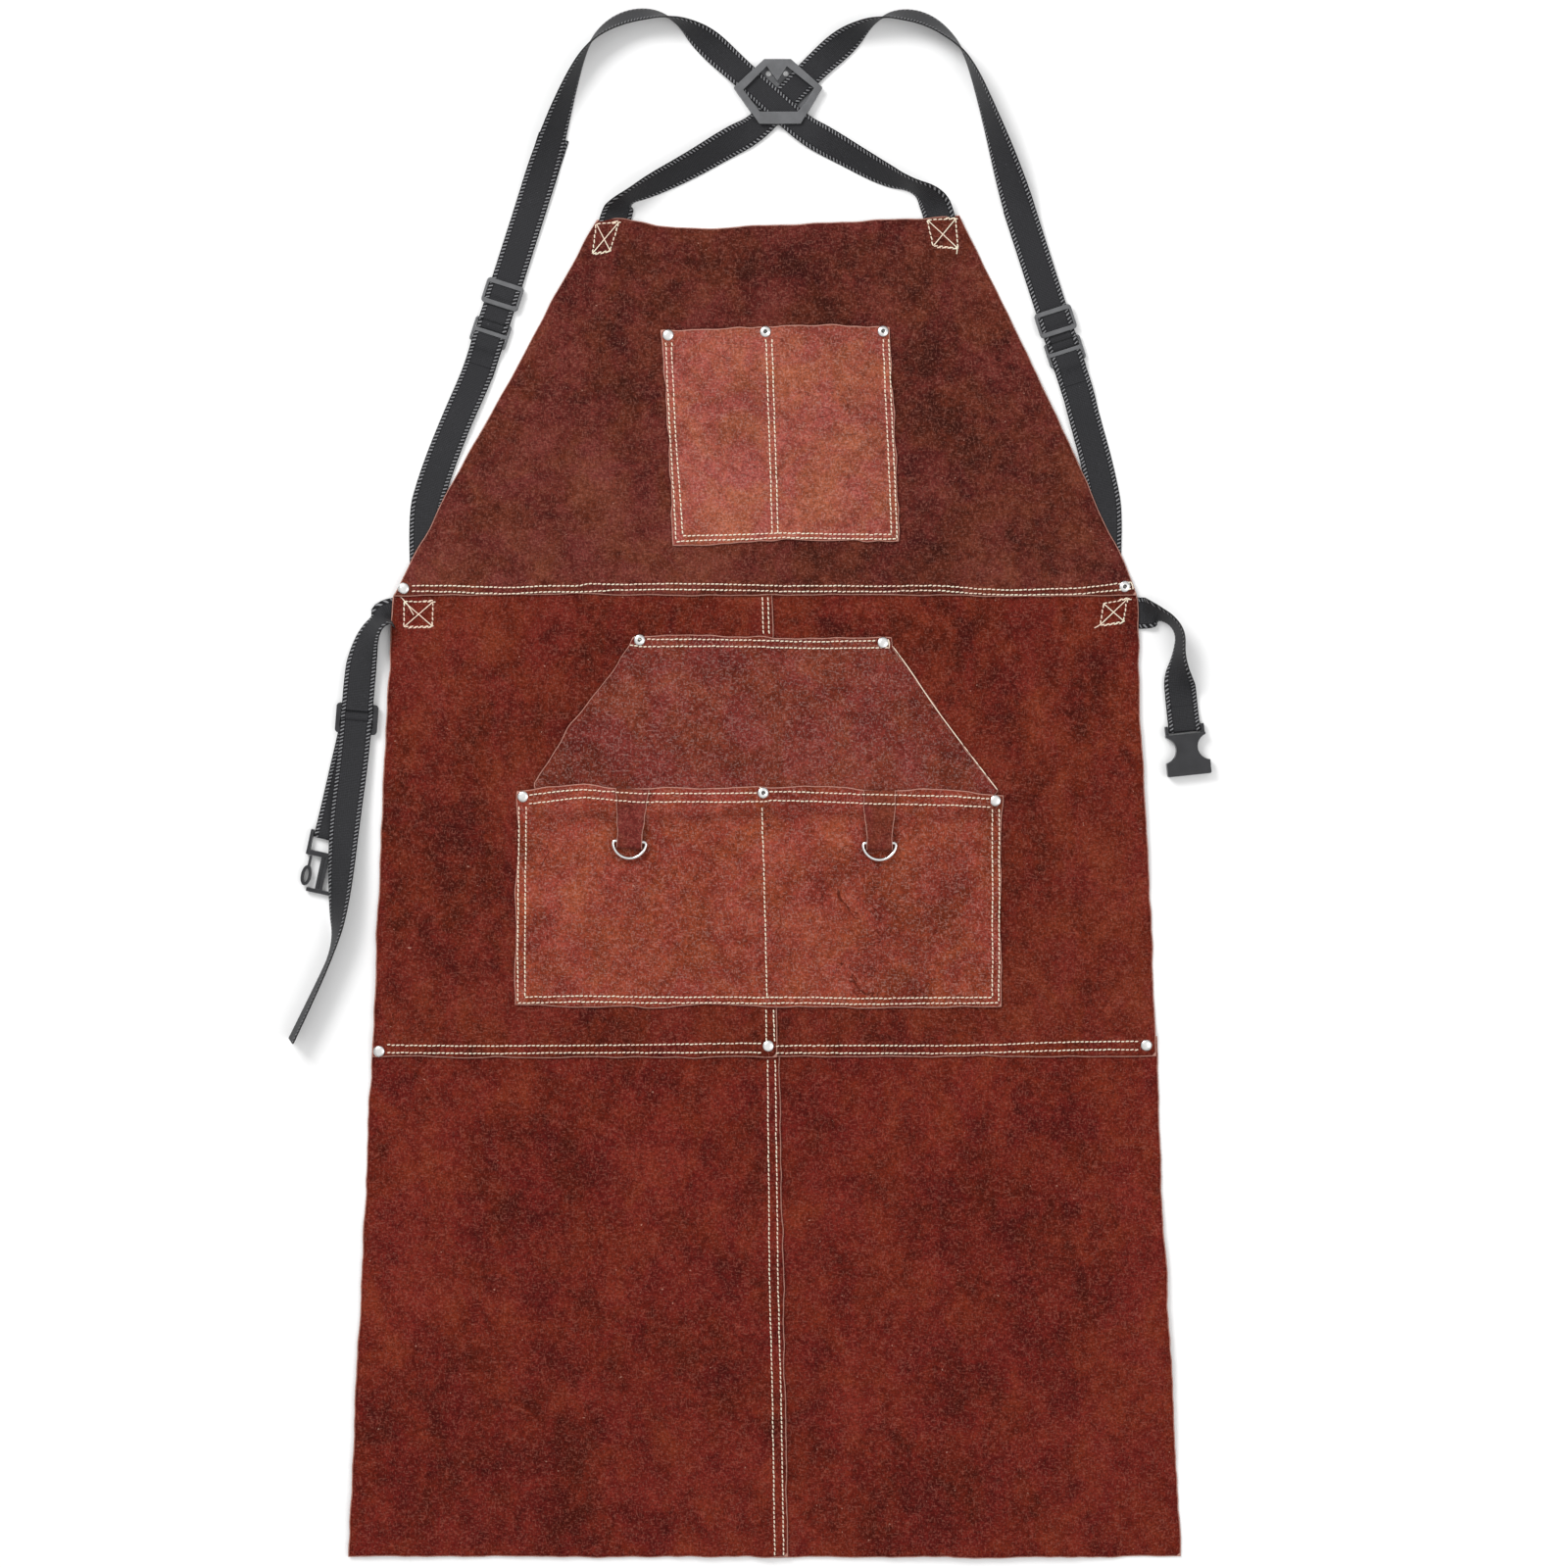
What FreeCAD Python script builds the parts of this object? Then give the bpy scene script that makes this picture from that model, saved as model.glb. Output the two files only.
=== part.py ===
import FreeCAD, Part

import math
import os

# A leather welding apron lying flat, wearer's side down. Millimetres.
# X runs across the apron from its centre line, Y up it from the raw edge of the waist seam,
# and Z up from the surface that the apron lies on. "left" is the -X side.

# ---------------------------------------------------------------- driving dimensions
LEATHER = 1.5            # split leather thickness
WEB_WIDTH = 25.0         # webbing
WEB_THICK = 1.5
PLATE_WEB_WIDTH = 21.0   # webbing gathered by the slots of the cross-back plate
LAYER_GAP = 0.3          # air between layers that only lie on each other
THREAD = 0.9             # width of a row of thread
THREAD_HEIGHT = 0.35
POCKET_DEPTH = 4.6       # clear space inside a pocket

BIB_TOP = 303.0
HEM = -767.0
LOWER_SEAM = -368.0      # raw edge of the upper skirt
SEAM_LAP = 13.0          # how far one panel reaches under the next
WAIST_HALF = 296.0       # half widths at the waist, lower seam and hem
SEAM_HALF = 312.0
HEM_HALF = 331.5

RIVET_CAP_R = 4.7
RIVET_SHANK_R = 1.25
RIVET_BACK_R = 3.5
RIVET_BACK_HEIGHT = 0.6
RIVET_PLAY = 0.15

D_RING_WIRE_R = 1.3
D_RING_R = 13.3            # round side's centre line
D_RING_REACH = 13.4        # bar's centre line to the round side's far point
D_RING_CORNER_R = 2.0

STRAIGHT = 0.01          # radians of turn that count as none
BAR_R = 1.15             # plastic bar that webbing turns round
LOOP_R = 2.2             # centre line of webbing going round a bar
BAR_HEIGHT = WEB_THICK / 2 + LOOP_R
STRAP_TILT = 17.8        # lean of the shoulder straps from straight down, degrees
SLIDER_LENGTH = 20.5
SLIDER_WIDTH = 30.5
SLIDER_THICK = 2.6
SLIDER_END_BAR = 3.6     # width of the slider's top and bottom bars
BELT_SLIDER_LENGTH = 24.0
BELT_SLIDER_WIDTH = 33.5
BELT_SLIDER_END_BAR = 4.5
MIDDLE_BAR_HALF = 1.5    # half width of the low middle bars
MIDDLE_BAR_THICK = 0.8
LINK_LENGTH = 20.0
LINK_BAR = 8.6           # middle of the link to each of its bars
WINDOW_HALF = 13.2       # half the clear width for webbing in the plastic parts
WEB_COVER = 28.0         # width that the leather leaves free over webbing sewn under it

V = FreeCAD.Vector
UP = V(0, 0, 1)
layers = []              # every layer laid so far: (outline, height of its top)
parts = {}


# ---------------------------------------------------------------- outlines
def prism(outline, low, high):
    corners = [V(x, y, low) for x, y in outline]
    return Part.Face(Part.makePolygon(corners + corners[:1])).extrude(V(0, 0, high - low))


def outward(start, end):
    run = math.hypot(end[0] - start[0], end[1] - start[1])
    return (end[1] - start[1]) / run, (start[0] - end[0]) / run


def grow(outline, distance):
    """Move every side of a counter-clockwise outline outwards."""
    grown = []
    for index, corner in enumerate(outline):
        first = outward(outline[index - 1], corner)
        second = outward(corner, outline[(index + 1) % len(outline)])
        reach = distance / (1 + first[0] * second[0] + first[1] * second[1])
        grown.append((corner[0] + reach * (first[0] + second[0]),
                      corner[1] + reach * (first[1] + second[1])))
    return grown


def clip(outline, window):
    """The part of an outline inside a convex counter-clockwise window."""
    kept = list(outline)
    for index, start in enumerate(window):
        normal = outward(start, window[(index + 1) % len(window)])
        source, kept = kept, []
        for position, corner in enumerate(source):
            before = source[position - 1]
            here = (corner[0] - start[0]) * normal[0] + (corner[1] - start[1]) * normal[1]
            there = (before[0] - start[0]) * normal[0] + (before[1] - start[1]) * normal[1]
            if (here > 0) != (there > 0):
                share = there / (there - here)
                kept.append((before[0] + share * (corner[0] - before[0]),
                             before[1] + share * (corner[1] - before[1])))
            if here <= 0:
                kept.append(corner)
    return kept


def area(outline):
    total = 0.0
    for index, (x, y) in enumerate(outline):
        total += outline[index - 1][0] * y - x * outline[index - 1][1]
    return total / 2


def band(start, end, width):
    """A straight strip's outline, counter-clockwise."""
    side = outward(start, end)
    half = width / 2
    return [(start[0] + side[0] * half, start[1] + side[1] * half),
            (end[0] + side[0] * half, end[1] + side[1] * half),
            (end[0] - side[0] * half, end[1] - side[1] * half),
            (start[0] - side[0] * half, start[1] - side[1] * half)]


def drape(outline, thickness, under, side_gap=LAYER_GAP):
    """Lay a sheet over the layers under it: flat, and stepped up over each of them."""
    sheet = prism(outline, 0, thickness)
    voids = []
    laid = [(outline, thickness)]
    for shape, top in under:
        step = clip(outline, grow(shape, side_gap + thickness))
        if len(step) < 3 or area(step) < 0.01:
            continue
        sheet = sheet.fuse(prism(step, 0, top + thickness))
        voids.append(prism(grow(shape, side_gap), -1, top))
        laid.append((step, top + thickness))
    for void in voids:
        sheet = sheet.cut(void)
    return sheet.removeSplitter(), laid


def lay(name, outline, cavities=()):
    """Lay a leather panel on everything laid before it, leaving any pocket space under it."""
    parts[name], laid = drape(outline, LEATHER, layers + list(cavities))
    layers.extend(laid)


def top_under(x, y, radius):
    """Height of the topmost layer under a disc."""
    turns = [math.radians(step * 45) for step in range(8)]
    disc = [(x + radius * math.cos(turn), y + radius * math.sin(turn)) for turn in turns]
    return max(top for outline, top in layers if len(clip(disc, outline)) > 2)


# ---------------------------------------------------------------- webbing
def section(station):
    """The webbing's rectangle at one station: x, y, heading, roll, base height, width."""
    x, y, heading, roll, base, width = station
    side = V(-math.sin(heading), math.cos(heading), 0)
    across = side * math.cos(roll) + UP * math.sin(roll)
    through = UP * math.cos(roll) - side * math.sin(roll)
    rise = base + abs(math.sin(roll)) * width / 2 + abs(math.cos(roll)) * WEB_THICK / 2
    middle = V(x, y, rise)
    corners = [middle + across * (a * width / 2) + through * (b * WEB_THICK / 2)
               for a, b in ((-1, -1), (1, -1), (1, 1), (-1, 1))]
    return Part.makePolygon(corners + corners[:1])


def blend(first, second, share):
    return [a + (b - a) * share for a, b in zip(first, second)]


def stations_along(route):
    """Straight runs and tangent arcs through a route of (x, y, roll, base height, width)."""
    spots = [[x, y, math.radians(roll), base, width] for x, y, roll, base, width in route]
    runs = [math.dist(a[:2], b[:2]) for a, b in zip(spots, spots[1:])]
    ways = [math.atan2(b[1] - a[1], b[0] - a[0]) for a, b in zip(spots, spots[1:])]
    stations = [spots[0][:2] + [ways[0]] + spots[0][2:]]
    radii = []
    for index in range(1, len(spots) - 1):
        turn = (ways[index] - ways[index - 1] + math.pi) % (2 * math.pi) - math.pi
        if abs(turn) < STRAIGHT:
            stations.append(spots[index][:2] + [ways[index]] + spots[index][2:])
            continue
        reach = 0.45 * min(runs[index - 1], runs[index])
        radius = reach / math.tan(abs(turn) / 2)
        radii.append(radius)
        pieces = max(2, math.ceil(abs(turn) / math.radians(14)))
        for piece in range(pieces + 1):
            share = piece / pieces
            swept = abs(turn) * share
            ahead = radius * math.sin(swept) - reach
            aside = math.copysign(radius * (1 - math.cos(swept)), turn)
            way = ways[index - 1]
            x = spots[index][0] + ahead * math.cos(way) - aside * math.sin(way)
            y = spots[index][1] + ahead * math.sin(way) + aside * math.cos(way)
            if share < 0.5:
                rest = blend(spots[index], spots[index - 1], reach * (1 - 2 * share) / runs[index - 1])
            else:
                rest = blend(spots[index], spots[index + 1], reach * (2 * share - 1) / runs[index])
            stations.append([x, y, way + math.copysign(swept, turn)] + rest[2:])
    stations.append(spots[-1][:2] + [ways[-1]] + spots[-1][2:])
    return stations, radii


def ribbon(name, route):
    """Webbing along a route, rolled about its own line as the route says."""
    stations, radii = stations_along(route)
    full = [stations[0]]
    for after in stations[1:]:
        before = full[-1]
        pieces = max(1, math.ceil(abs(after[3] - before[3]) / math.radians(12)))
        full += [blend(before, after, (piece + 1) / pieces) for piece in range(pieces)]
    length = sum(math.dist(a[:2], b[:2]) for a, b in zip(full, full[1:]))
    solid = Part.makeLoft([section(station) for station in full], True, True)
    print(f"{name}: {length:.0f} mm, radii", " ".join(f"{radius:.0f}" for radius in radii),
          f"volume ratio {solid.Volume / (length * WEB_WIDTH * WEB_THICK):.3f}")
    return solid


def bent_strip(profile, width=WEB_WIDTH, thickness=WEB_THICK):
    """A strip whose centre line bends in the local X-Z plane, centred on local Y."""
    ways = [math.atan2(b[1] - a[1], b[0] - a[0]) for a, b in zip(profile, profile[1:])]
    sides = ([], [])
    for index, (x, z) in enumerate(profile):
        first = ways[max(index - 1, 0)]
        second = ways[min(index, len(ways) - 1)]
        turn = (second - first + math.pi) % (2 * math.pi) - math.pi
        reach = thickness / 2 / math.cos(turn / 2)
        lean = first + turn / 2
        for side, sign in zip(sides, (1, -1)):
            side.append(V(x - sign * reach * math.sin(lean), -width / 2,
                          z + sign * reach * math.cos(lean)))
    corners = sides[0] + sides[1][::-1]
    return Part.Face(Part.makePolygon(corners + corners[:1])).extrude(V(0, width, 0))


def turn_round(bar_x, way):
    """Centre-line points of webbing going round a bar from its top to its underside."""
    points = []
    for degrees in range(90, -91, -30):
        angle = math.radians(degrees)
        points.append((bar_x + way * LOOP_R * math.cos(angle), BAR_HEIGHT + LOOP_R * math.sin(angle)))
    return points


def placed(shape, x, y, heading):
    """Turn a local shape, whose X runs along the strap, to its heading and put it in place."""
    moved = shape.copy()
    moved.rotate(V(0, 0, 0), UP, heading)
    moved.translate(V(x, y, 0))
    return moved


def along(start, heading, distance):
    angle = math.radians(heading)
    return start[0] + distance * math.cos(angle), start[1] + distance * math.sin(angle)


# ---------------------------------------------------------------- plastic parts
def block(u0, u1, v0, v1, z0, z1):
    return Part.makeBox(u1 - u0, v1 - v0, z1 - z0, V(u0, v0, z0))


def rounded_block(length, width, low, high, radius):
    solid = block(-length / 2, length / 2, -width / 2, width / 2, low, high)
    upright = [edge for edge in solid.Edges if abs(edge.Vertexes[0].Z - edge.Vertexes[1].Z) > 0.1]
    solid = solid.makeFillet(radius, upright)
    rims = [edge for edge in solid.Edges if abs(edge.BoundBox.ZMin - edge.BoundBox.ZMax) < 0.01]
    return solid.makeFillet(0.5, rims)


def cross_bar(u, radius, height, half):
    return Part.makeCylinder(radius, 2 * half, V(u, -half, height), V(0, 1, 0))


def middle_bar(low, high):
    return block(-MIDDLE_BAR_HALF, MIDDLE_BAR_HALF, -WINDOW_HALF - 0.5, WINDOW_HALF + 0.5, low, high)


def slider(length, width, low, outer_bar):
    """A three-bar slider whose webbing goes over the low middle bar."""
    high = low + SLIDER_THICK
    window_end = length / 2 - outer_bar
    body = rounded_block(length, width, low, high, 3.0)
    body = body.cut(block(-window_end, window_end, -WINDOW_HALF, WINDOW_HALF, low - 1, high + 1))
    return body.fuse(middle_bar(low, low + MIDDLE_BAR_THICK))


def slider_fold(length, low, outer_bar):
    """The webbing where it crosses the slider's middle bar, which moves with the slider."""
    end = length / 2 - outer_bar - LAYER_GAP
    crest_half = MIDDLE_BAR_HALF + 0.9
    foot = low + WEB_THICK / 2 + 0.05
    crest = low + MIDDLE_BAR_THICK + WEB_THICK / 2 + 0.2
    return bent_strip([(-end, foot), (-crest_half, crest), (crest_half, crest), (end, foot)])


def link():
    """A flat loop with a bar at each end for webbing and one across its middle."""
    low, high = WEB_THICK + LAYER_GAP, 2 * BAR_HEIGHT - WEB_THICK - LAYER_GAP
    rail = 1.7
    body = rounded_block(LINK_LENGTH, 2 * (WINDOW_HALF + rail), low, high, 2.2)
    body = body.cut(block(-LINK_LENGTH, LINK_LENGTH, -WINDOW_HALF, WINDOW_HALF, low - 1, high + 1))
    for u in (-LINK_BAR, LINK_BAR):
        body = body.fuse(cross_bar(u, BAR_R, BAR_HEIGHT, WINDOW_HALF + rail / 4))
    return body.fuse(middle_bar(low, high))


def male_body():
    """The plug: rails to its strap bar, a cross bar, a centre guide and an end bar."""
    rail, rail_end, guide_end = 2.5, 17.5, 45.0
    solid = cross_bar(0, BAR_R, BAR_HEIGHT, WINDOW_HALF + 1)
    for inner in (WINDOW_HALF, -WINDOW_HALF - rail):
        side = block(0, rail_end, 0, rail, 0.2, 5.8)
        side = side.fuse(Part.makeCylinder(2.8, rail, V(0, 0, 3.0), V(0, 1, 0)))
        side.translate(V(0, inner, 0))
        solid = solid.fuse(side)
    for inner in (1.2, -2.8):
        solid = solid.fuse(block(rail_end - 1, guide_end, inner, inner + 1.6, 0.8, 5.2))
    solid = solid.fuse(block(rail_end - 4, rail_end, -WINDOW_HALF - 1, WINDOW_HALF + 1, 0.4, 5.6))
    solid = solid.fuse(block(rail_end - 1, guide_end, -1.3, 1.3, 2.0, 4.0))
    return solid.fuse(block(guide_end - 1.7, guide_end + 1.3, -9.5, 9.5, 0.8, 5.2)).removeSplitter()


def oval(x, y, half_length, half_width, low, high):
    edge = Part.Ellipse(V(x, y, low), half_length, half_width).toShape()
    return Part.Face(Part.Wire(edge)).extrude(V(0, 0, high - low))


PRONG_ROOT = (18.7, 11.5)     # along and across the strap from the plug's strap bar


def prong(side):
    """One springy arm of the plug, with its hollow thumb pad; side is -1 or 1 across the strap."""
    low, high = 0.9, 5.1
    arm_half = 0.9
    start, across = PRONG_ROOT
    pad_at = (start + 15.5, side * (across + 0.5))
    body = Part.makeCylinder(arm_half, high - low, V(start, side * across, low))
    edge = side * across - arm_half
    body = body.fuse(block(start, start + 11.3, edge, edge + 2 * arm_half, low, high))
    body = body.fuse(oval(*pad_at, 8.2, 4.0, low, high))
    return body.cut(oval(*pad_at, 5.4, 1.9, low - 1, high + 1))


def female_body():
    """The socket: a hollow hourglass shell with a bar for the webbing."""
    top, wall, half, end = 8.6, 1.6, 17.4, 37.5
    cheek, cheek_r = 2.4, 2.85
    body = block(4.3, end, -half, half, 0, top)
    for sign in (-1, 1):
        body = body.cut(Part.makeCylinder(10.5, top + 2, V(16.0, sign * 19.0, -1)))
        body = body.cut(block(0, 9, sign * half - wall, sign * half + wall, -1, top + 1))
    mouth = [edge for edge in body.Edges
             if abs(edge.BoundBox.ZLength - top) < 0.01 and edge.BoundBox.XMin > end - 0.01]
    body = body.makeFillet(1.5, mouth)
    body = body.cut(block(8, end + 2, -6.5, 6.5, wall, top - wall))
    body = body.cut(block(22, end + 2, wall - half, half - wall, wall, top - wall))
    for inner in (WINDOW_HALF, -WINDOW_HALF - cheek):
        body = body.fuse(Part.makeCylinder(cheek_r, cheek, V(0, inner, BAR_HEIGHT), V(0, 1, 0)))
        body = body.fuse(block(0, 5, inner, inner + cheek, 0.1, 2 * cheek_r + 0.1))
    return body.fuse(cross_bar(0, BAR_R, BAR_HEIGHT, WINDOW_HALF + 1)).removeSplitter()


# ---------------------------------------------------------------- webbing ends under the leather
LEFT_CORNER_END, LEFT_CORNER_EXIT = (-127.0, 272.0), (-119.8, 302.5)
RIGHT_CORNER_END, RIGHT_CORNER_EXIT = (144.6, 272.0), (139.3, 304.5)
SIDE_END_Y = -27.0
SIDE_X = 268.0
BELT_Y = -14.0
BELT_END_X = 261.0
BELT_EXIT_X = 300.5

layers.append((band(LEFT_CORNER_END, LEFT_CORNER_EXIT, WEB_COVER), WEB_THICK))
layers.append((band(RIGHT_CORNER_END, RIGHT_CORNER_EXIT, WEB_COVER), WEB_THICK))
side_foot = {-1: (-275.0, 57.0), 1: (274.5, 57.0)}
side_bend = {-1: (-264.0, 96.0), 1: (267.0, 98.0)}
for sign in (-1, 1):
    layers.append((band((sign * SIDE_X, SIDE_END_Y), side_foot[sign], WEB_WIDTH + 1.2), WEB_THICK))
    layers.append((band(side_foot[sign], side_bend[sign], WEB_COVER), WEB_THICK))
    belt_band = band((sign * BELT_END_X, BELT_Y), (sign * BELT_EXIT_X, BELT_Y), WEB_WIDTH)
    layers.append((belt_band, 2 * WEB_THICK))

# ---------------------------------------------------------------- leather panels, from the bottom up
lower_top = LOWER_SEAM + SEAM_LAP + 3
lay("lower_skirt_right", [(-1, HEM), (HEM_HALF, HEM), (SEAM_HALF, lower_top), (-7, lower_top)])
lay("lower_skirt_left", [(-HEM_HALF - 1.5, HEM), (18, HEM), (11, lower_top), (-SEAM_HALF - 1.5, lower_top)])
lay("upper_skirt_right",
    [(-7, LOWER_SEAM), (SEAM_HALF, LOWER_SEAM), (WAIST_HALF, SEAM_LAP), (-9, SEAM_LAP)])
lay("upper_skirt_left",
    [(-SEAM_HALF - 1.5, LOWER_SEAM), (10, LOWER_SEAM), (5.5, SEAM_LAP), (-WAIST_HALF, SEAM_LAP)])
lay("bib_panel",
    [(-WAIST_HALF - 0.5, 0), (WAIST_HALF, 0), (155, BIB_TOP), (-72, 294), (-112, 300), (-134.7, 299)])

chest_top, chest_bottom = 213.0, 41.0
lay("chest_pocket",
    [(-73.6, chest_bottom - 1), (106.5, chest_bottom + 1), (99.5, chest_top + 1.5), (-82.3, chest_top - 1)],
    [([(-61, 50), (-0.5, 50), (-7, 222), (-70.5, 222)], LEATHER + POCKET_DEPTH),
     ([(15, 50), (96.5, 50), (87, 222), (9, 222)], LEATHER + POCKET_DEPTH)])

hand_space = ([(-182, -172), (172, -172), (177.5, -148), (163, -112), (112, -44),
               (-118, -44), (-172, -112), (-186, -146)], LEATHER + POCKET_DEPTH)
lay("tool_pocket_yoke", [(-180, -170), (172, -170), (181, -152), (102, -40), (100, -33.5),
                         (-106, -33), (-110, -40), (-163, -114), (-185, -150)], [hand_space])
lay("tool_pocket_front", [(-200, -327), (188, -328), (188, -156), (-197, -153)],
    [hand_space,
     ([(-188, -318), (-4, -318), (-8.5, -160), (-184, -160)], LEATHER + POCKET_DEPTH),
     ([(7, -318), (176, -318), (174, -160), (2.5, -160)], LEATHER + POCKET_DEPTH)])


# ---------------------------------------------------------------- D-rings and their tabs
TAB_LENGTH = 48.0
TAB_TOP_HALF = 13.0
TAB_LOOP_HALF = 9.9
TAB_BASE = LEATHER + POCKET_DEPTH + 2 * LEATHER
TAB_HOLE_R = D_RING_WIRE_R + LAYER_GAP
D_RING_HEIGHT = TAB_BASE + LEATHER + TAB_HOLE_R
TAB_SLOT = 3.0                                       # how much longer than round the tab's loop is
TAB_BAR = TAB_LENGTH - LEATHER - TAB_HOLE_R - TAB_SLOT          # from the tab's top to the ring's bar


def tab_loop(radius, half):
    """A long round shape across the tab, from the ring's bar to the loop's far end."""
    near = cross_bar(TAB_BAR, radius, D_RING_HEIGHT, half)
    far = cross_bar(TAB_BAR + TAB_SLOT, radius, D_RING_HEIGHT, half)
    middle = block(TAB_BAR, TAB_BAR + TAB_SLOT, -half, half, D_RING_HEIGHT - radius, D_RING_HEIGHT + radius)
    return near.fuse(middle).fuse(far)


def d_ring_tab():
    """A strip folded round the ring's bar; local X runs down the tab from its top edge."""
    high = D_RING_HEIGHT + TAB_HOLE_R + LEATHER
    flat = TAB_BASE + 2 * LEATHER
    slope = 23.0
    outer = [(0, TAB_BASE), (TAB_BAR, TAB_BASE), (TAB_BAR, high), (TAB_BAR - slope, flat), (0, flat)]
    corners = [V(x, -TAB_TOP_HALF, z) for x, z in outer]
    body = Part.Face(Part.makePolygon(corners + corners[:1])).extrude(V(0, 2 * TAB_TOP_HALF, 0))
    body = body.fuse(tab_loop(TAB_HOLE_R + LEATHER, TAB_TOP_HALF))
    body = body.cut(tab_loop(TAB_HOLE_R, TAB_TOP_HALF + 1))
    taper = [(-1, -TAB_TOP_HALF), (TAB_LENGTH + 1, -TAB_LOOP_HALF),
             (TAB_LENGTH + 1, TAB_LOOP_HALF), (-1, TAB_TOP_HALF)]
    return body.common(prism(taper, 0, high + 5)).removeSplitter()


def d_ring():
    """A round wire bent to a D; local X runs away from its straight bar."""
    corner_x = D_RING_CORNER_R
    round_x = D_RING_REACH - D_RING_R
    corner_y = math.sqrt((D_RING_R - D_RING_CORNER_R) ** 2 - (corner_x - round_x) ** 2)
    joins_bar = math.pi
    joins_round = math.atan2(corner_y, corner_x - round_x)

    def on_corner(angle, side):
        return V(corner_x + D_RING_CORNER_R * math.cos(angle),
                 side * (corner_y + D_RING_CORNER_R * math.sin(angle)), 0)

    half_way = (joins_bar + joins_round) / 2
    bar_low, bar_high = on_corner(joins_bar, -1), on_corner(joins_bar, 1)
    round_low, round_high = on_corner(joins_round, -1), on_corner(joins_round, 1)
    path = Part.Wire([
        Part.LineSegment(bar_low, bar_high).toShape(),
        Part.Arc(bar_high, on_corner(half_way, 1), round_high).toShape(),
        Part.Arc(round_high, V(D_RING_REACH, 0, 0), round_low).toShape(),
        Part.Arc(round_low, on_corner(half_way, -1), bar_low).toShape()])
    section = Part.Wire(Part.makeCircle(D_RING_WIRE_R, bar_low, V(0, 1, 0)))
    return path.makePipeShell([section], True, False)


tabs = {"left": ((-105.8, -154.3), -93.0), "right": ((90.9, -155.5), -90.0)}
for label, (top, heading) in tabs.items():
    parts[f"d_ring_tab_{label}"] = placed(d_ring_tab(), *top, heading)
    bar = along(top, heading, TAB_BAR)
    ring = d_ring()
    ring.translate(V(0, 0, D_RING_HEIGHT))
    parts[f"d_ring_{label}"] = placed(ring, *bar, heading)
    layers.append((band(top, along(top, heading, 20), 2 * TAB_TOP_HALF - 0.3), TAB_BASE + 2 * LEATHER))
    print(f"d_ring_{label} hinge at {bar[0]:.2f} {bar[1]:.2f} {D_RING_HEIGHT:.2f}, heading {heading}")

# ---------------------------------------------------------------- rivets
rivets = {"chest_pocket": [(-77.6, 207.6), (0.0, 210.7), (94.0, 211.0)],
          "waist": [(-288.3, 5.5), (287.4, 7.0)],
          "pocket_yoke": [(-100.3, -35.5), (94.0, -36.5)],
          "tool_pocket": [(-193.5, -160.6), (-1.6, -157.5), (183.3, -163.7)],
          "lower_seam": [(-308.0, -362.0), (2.4, -359.5), (304.0, -359.5)]}


def rivet_cap(x, y, base):
    dome_height, rim_height, dimple_r = 1.3, 0.3, 1.0
    sphere_r = (RIVET_CAP_R ** 2 + dome_height ** 2) / (2 * dome_height)
    dome = Part.makeSphere(sphere_r, V(x, y, base + rim_height + dome_height - sphere_r))
    dome = dome.common(Part.makeCylinder(RIVET_CAP_R, 5, V(x, y, base + rim_height)))
    cap = dome.fuse(Part.makeCylinder(RIVET_CAP_R, rim_height, V(x, y, base)))
    cap = cap.cut(Part.makeCylinder(dimple_r, 1, V(x, y, base + rim_height + dome_height - 0.35)))
    return cap.cut(Part.makeCylinder(RIVET_SHANK_R, 0.9, V(x, y, base - 0.1))).removeSplitter()


def rivet_post(x, y, base):
    back = Part.makeCylinder(RIVET_BACK_R, RIVET_BACK_HEIGHT, V(x, y, 0))
    return back.fuse(Part.makeCylinder(RIVET_SHANK_R, base + 0.8, V(x, y, 0))).removeSplitter()


panels = ["lower_skirt_right", "lower_skirt_left", "upper_skirt_right", "upper_skirt_left",
          "bib_panel", "chest_pocket", "tool_pocket_yoke", "tool_pocket_front"]
for group, spots in rivets.items():
    caps = []
    posts = []
    for x, y in spots:
        base = top_under(x, y, RIVET_CAP_R - 0.3)
        caps.append(rivet_cap(x, y, base))
        posts.append(rivet_post(x, y, base))
        hole = Part.makeCylinder(RIVET_SHANK_R + RIVET_PLAY, base + 2, V(x, y, -1))
        recess = Part.makeCylinder(RIVET_BACK_R + RIVET_PLAY, RIVET_BACK_HEIGHT, V(x, y, 0))
        for panel in panels:
            if parts[panel].BoundBox.isInside(V(x, y, parts[panel].BoundBox.Center.z)):
                parts[panel] = parts[panel].cut(hole).cut(recess)
    parts[f"{group}_rivet_caps"] = Part.makeCompound(caps)
    parts[f"{group}_rivet_posts"] = Part.makeCompound(posts)

# ---------------------------------------------------------------- thread
def stitch_rows(name, rows):
    """Rows of thread laid on the leather; each row is a list of points."""
    strips = []
    for row in rows:
        for start, end in zip(row, row[1:]):
            path = band(start, end, THREAD)
            strips.append(drape(path, THREAD_HEIGHT, layers, 0.05)[0])
    solids = [solid for strip in strips for solid in strip.Solids if solid.BoundBox.ZMax > 1]
    parts[name] = Part.makeCompound(solids)


def tack_rows(corners):
    """A box with a cross in it."""
    gap = THREAD * 1.2
    a, b, c, d = corners

    def between(start, end):
        run = math.dist(start, end)
        share = gap / run
        return [tuple(blend(start, end, share)), tuple(blend(start, end, 1 - share))]

    middle = tuple(blend(a, c, 0.5))
    rows = [between(a, b), between(b, c), between(c, d), between(d, a)]
    rows += [between(corner, middle) for corner in (a, b, c, d)]
    return rows


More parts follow.
